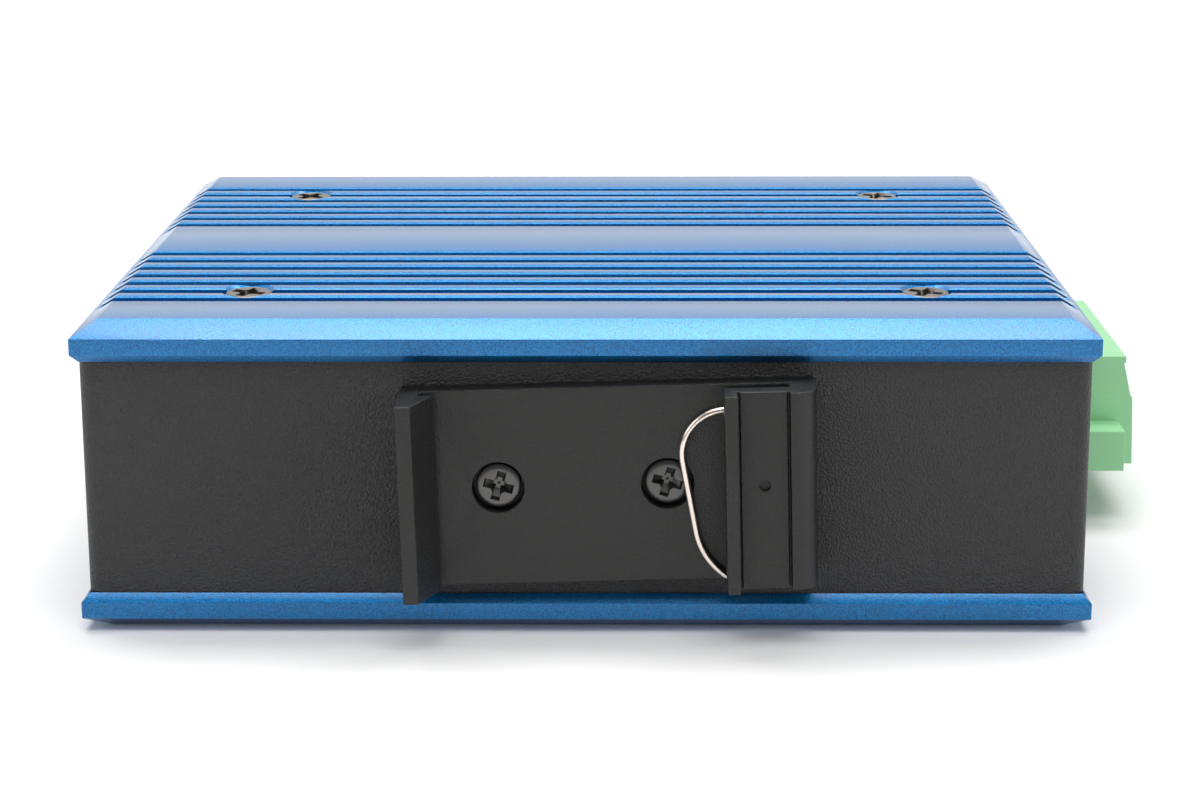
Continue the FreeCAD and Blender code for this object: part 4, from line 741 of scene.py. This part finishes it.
def screw_tree():
    """A screw on each place, along its own axis and turned by a fixed chance."""
    tree = bpy.data.node_groups.new("set_of_screws", "GeometryNodeTree")
    tree_input(tree, "Places", "NodeSocketGeometry")
    tree_input(tree, "Screw", "NodeSocketObject")
    tree_input(tree, "First turn", "NodeSocketFloat", 0.0)
    tree_input(tree, "Turn spread", "NodeSocketFloat", 0.0)
    tree_input(tree, "Seed", "NodeSocketInt", 1)
    tree_input(tree, "Finish", "NodeSocketMaterial")
    tree.interface.new_socket(name="Screws", in_out="OUTPUT", socket_type="NodeSocketGeometry")
    given = add_node(tree, "NodeGroupInput")
    tool = add_node(tree, "GeometryNodeObjectInfo", {"Object": given.outputs["Screw"]})
    out = add_node(tree, "GeometryNodeInputNamedAttribute", {"Name": "out"},
                   data_type="FLOAT_VECTOR")
    upright = add_node(tree, "FunctionNodeAlignRotationToVector", {
        "Vector": out.outputs["Attribute"],
    }, axis="Z")
    chance = add_node(tree, "FunctionNodeRandomValue", {
        2: -1.0, 3: 1.0, "Seed": given.outputs["Seed"],
    }, data_type="FLOAT")
    spread = add_node(tree, "ShaderNodeMath", {
        0: chance.outputs[1], 1: given.outputs["Turn spread"],
    }, operation="MULTIPLY")
    angle = add_node(tree, "ShaderNodeMath", {
        0: spread.outputs[0], 1: given.outputs["First turn"],
    }, operation="ADD")
    about = add_node(tree, "ShaderNodeCombineXYZ", {"Z": angle.outputs[0]})
    spin = add_node(tree, "FunctionNodeEulerToRotation", {"Euler": about.outputs[0]})
    turn = add_node(tree, "FunctionNodeRotateRotation", {
        "Rotation": upright.outputs["Rotation"], "Rotate By": spin.outputs["Rotation"],
    }, rotation_space="LOCAL")
    copies = add_node(tree, "GeometryNodeInstanceOnPoints", {
        "Points": given.outputs["Places"], "Instance": tool.outputs["Geometry"],
        "Rotation": turn.outputs["Rotation"],
    })
    real = add_node(tree, "GeometryNodeRealizeInstances", {
        "Geometry": copies.outputs["Instances"],
    })
    painted = add_node(tree, "GeometryNodeSetMaterial", {
        "Geometry": real.outputs["Geometry"], "Material": given.outputs["Finish"],
    })
    add_node(tree, "NodeGroupOutput", {0: painted.outputs["Geometry"]})
    return tree


SCREW_SETS = screw_tree()
print("screw tree:", len(SCREW_SETS.nodes), "nodes")

# %% [markdown]
# The clip and what it holds sit on the back wall, turned a degree and a half from square. Their
# places are written about the clip's middle and go through one matrix.

# %% Set the screws out
CLIP_X, CLIP_Z, CLIP_TURN = -0.2, 18.0, 1.5
OUT = Vector((0, -1, 0))
CLIP = (Matrix.Translation((CLIP_X, wall_low.y, CLIP_Z))
        @ Matrix.Rotation(math.radians(CLIP_TURN), 4, OUT))
OUT_OF_CLIP = (CLIP.to_3x3() @ OUT).normalized()
CLIP_SCREW_X, CLIP_SEAT = 9.4, 2.0
TOP, SEAT = cover_high.z, 0.2
PANEL_SCREW_INSET, PANEL_SCREW_HEIGHTS = 4.5, (12.0, 24.0)
EARTH_Y, EARTH_Z, EARTH_WASHER = -22.0, 20.0, 0.8
end_wall = wall_high.x
pan_out = end_wall - pan_head[-1][1]
earth_out = end_wall + EARTH_WASHER - earth_head[-1][1]
# Each set is the kind of screw, its finish, the first turn, the spread of turns in radians, the
# seed of the turns, and the places with the way out of each head.
sets = {
    "lower_cover_screws": ("base", ZINC, 0.6, 2.6, 4, [
        ((x, y, SEAT), (0, 0, -1)) for x, y in CORNERS]),
    "upper_cover_screws": ("top", NICKEL, 0.75, 0.5, 3, [
        ((x, y, TOP - SEAT), (0, 0, 1)) for x, y in CORNERS]),
    "panel_screws": ("panel", BLACK_ZINC, 0.3, 2.2, 7, [
        ((pan_out * side, wall_high.y - PANEL_SCREW_INSET, z), (side, 0, 0))
        for side in (-1, 1) for z in PANEL_SCREW_HEIGHTS]),
    "clip_screws": ("clip", BLACK_ZINC, math.radians(-15), 0.0, 1, [
        (CLIP @ Vector((x, -CLIP_SEAT, 0)), OUT_OF_CLIP) for x in (-CLIP_SCREW_X, CLIP_SCREW_X)]),
    "earth_screw": ("earth", ZINC, 0.4, 0.0, 1, [((earth_out, EARTH_Y, EARTH_Z), (1, 0, 0))]),
}
for node, (kind, material, turn, spread, seed, spots) in sets.items():
    holder = points_mesh(node + "_set", spots)
    piece = run_tree(holder, SCREW_SETS, Screw=SCREWS[kind], First_turn=turn, Turn_spread=spread,
                     Seed=seed, Finish=material)
    crisp(piece.data, degrees=30)
    adopt(piece, material, [node])
    print(node, len(piece.data.polygons), "faces")
for screw in SCREWS.values():
    bpy.data.objects.remove(screw)

# %% [markdown]
# ## The wire spring
# The spring is one length of drawn wire, bent round five pins. Its route is seven points, and
# each but the two ends holds the radius of its own bend. Geometry Nodes rounds the bends and then
# sweeps the wire along the route.

# %% Bend the spring
def wire_tree():
    """A round wire along a route whose points hold their bends."""
    tree = bpy.data.node_groups.new("bent_wire", "GeometryNodeTree")
    tree_input(tree, "Route", "NodeSocketGeometry")
    tree_input(tree, "Wire radius", "NodeSocketFloat")
    tree_input(tree, "Steps in a bend", "NodeSocketInt")
    tree_input(tree, "Sides", "NodeSocketInt")
    tree_input(tree, "Finish", "NodeSocketMaterial")
    tree.interface.new_socket(name="Wire", in_out="OUTPUT", socket_type="NodeSocketGeometry")
    given = add_node(tree, "NodeGroupInput")
    line = add_node(tree, "GeometryNodeMeshToCurve", {"Mesh": given.outputs["Route"]})
    bend = add_node(tree, "GeometryNodeInputNamedAttribute", {"Name": "bend"}, data_type="FLOAT")
    path = add_node(tree, "GeometryNodeFilletCurve", {
        "Curve": line.outputs["Curve"], "Count": given.outputs["Steps in a bend"],
        "Radius": bend.outputs["Attribute"],
    }, mode="POLY")
    ring = add_node(tree, "GeometryNodeCurvePrimitiveCircle", {
        "Resolution": given.outputs["Sides"], "Radius": given.outputs["Wire radius"],
    })
    tube = add_node(tree, "GeometryNodeCurveToMesh", {
        "Curve": path.outputs["Curve"], "Profile Curve": ring.outputs["Curve"], "Fill Caps": True,
    })
    real = add_node(tree, "GeometryNodeRealizeInstances", {"Geometry": tube.outputs["Mesh"]})
    painted = add_node(tree, "GeometryNodeSetMaterial", {
        "Geometry": real.outputs["Geometry"], "Material": given.outputs["Finish"],
    })
    add_node(tree, "NodeGroupOutput", {0: painted.outputs["Geometry"]})
    return tree


# The middle of the wire lies this far out from the back wall.
WIRE_OUT, WIRE_RADIUS = 3.05, 0.4
# Each point is X and Z from the clip's middle, and the radius of its bend.
route = [(21.4, -5.5, 0), (21.4, 8.45, 1.2), (10.2, 8.45, 5.0), (12.95, -8.4, 8.0),
         (15.9, -10.9, 1.5), (21.4, -10.9, 1.2), (21.4, -7.3, 0)]
mesh = bpy.data.meshes.new("spring_route")
mesh.from_pydata([CLIP @ Vector((x, -WIRE_OUT, z)) * MM for x, z, bend in route],
                 [(i, i + 1) for i in range(len(route) - 1)], [])
bends = mesh.attributes.new("bend", "FLOAT", "POINT")
for index, (x, z, bend) in enumerate(route):
    bends.data[index].value = bend * MM
holder = bpy.data.objects.new("wire_spring", mesh)
bpy.context.collection.objects.link(holder)
wire = run_tree(holder, wire_tree(), Wire_radius=WIRE_RADIUS * MM, Steps_in_a_bend=16, Sides=20,
                Finish=SPRING)
crisp(wire.data, degrees=60)
adopt(wire, SPRING, ["rail_spring"])
print("wire spring:", len(wire.data.polygons), "faces")
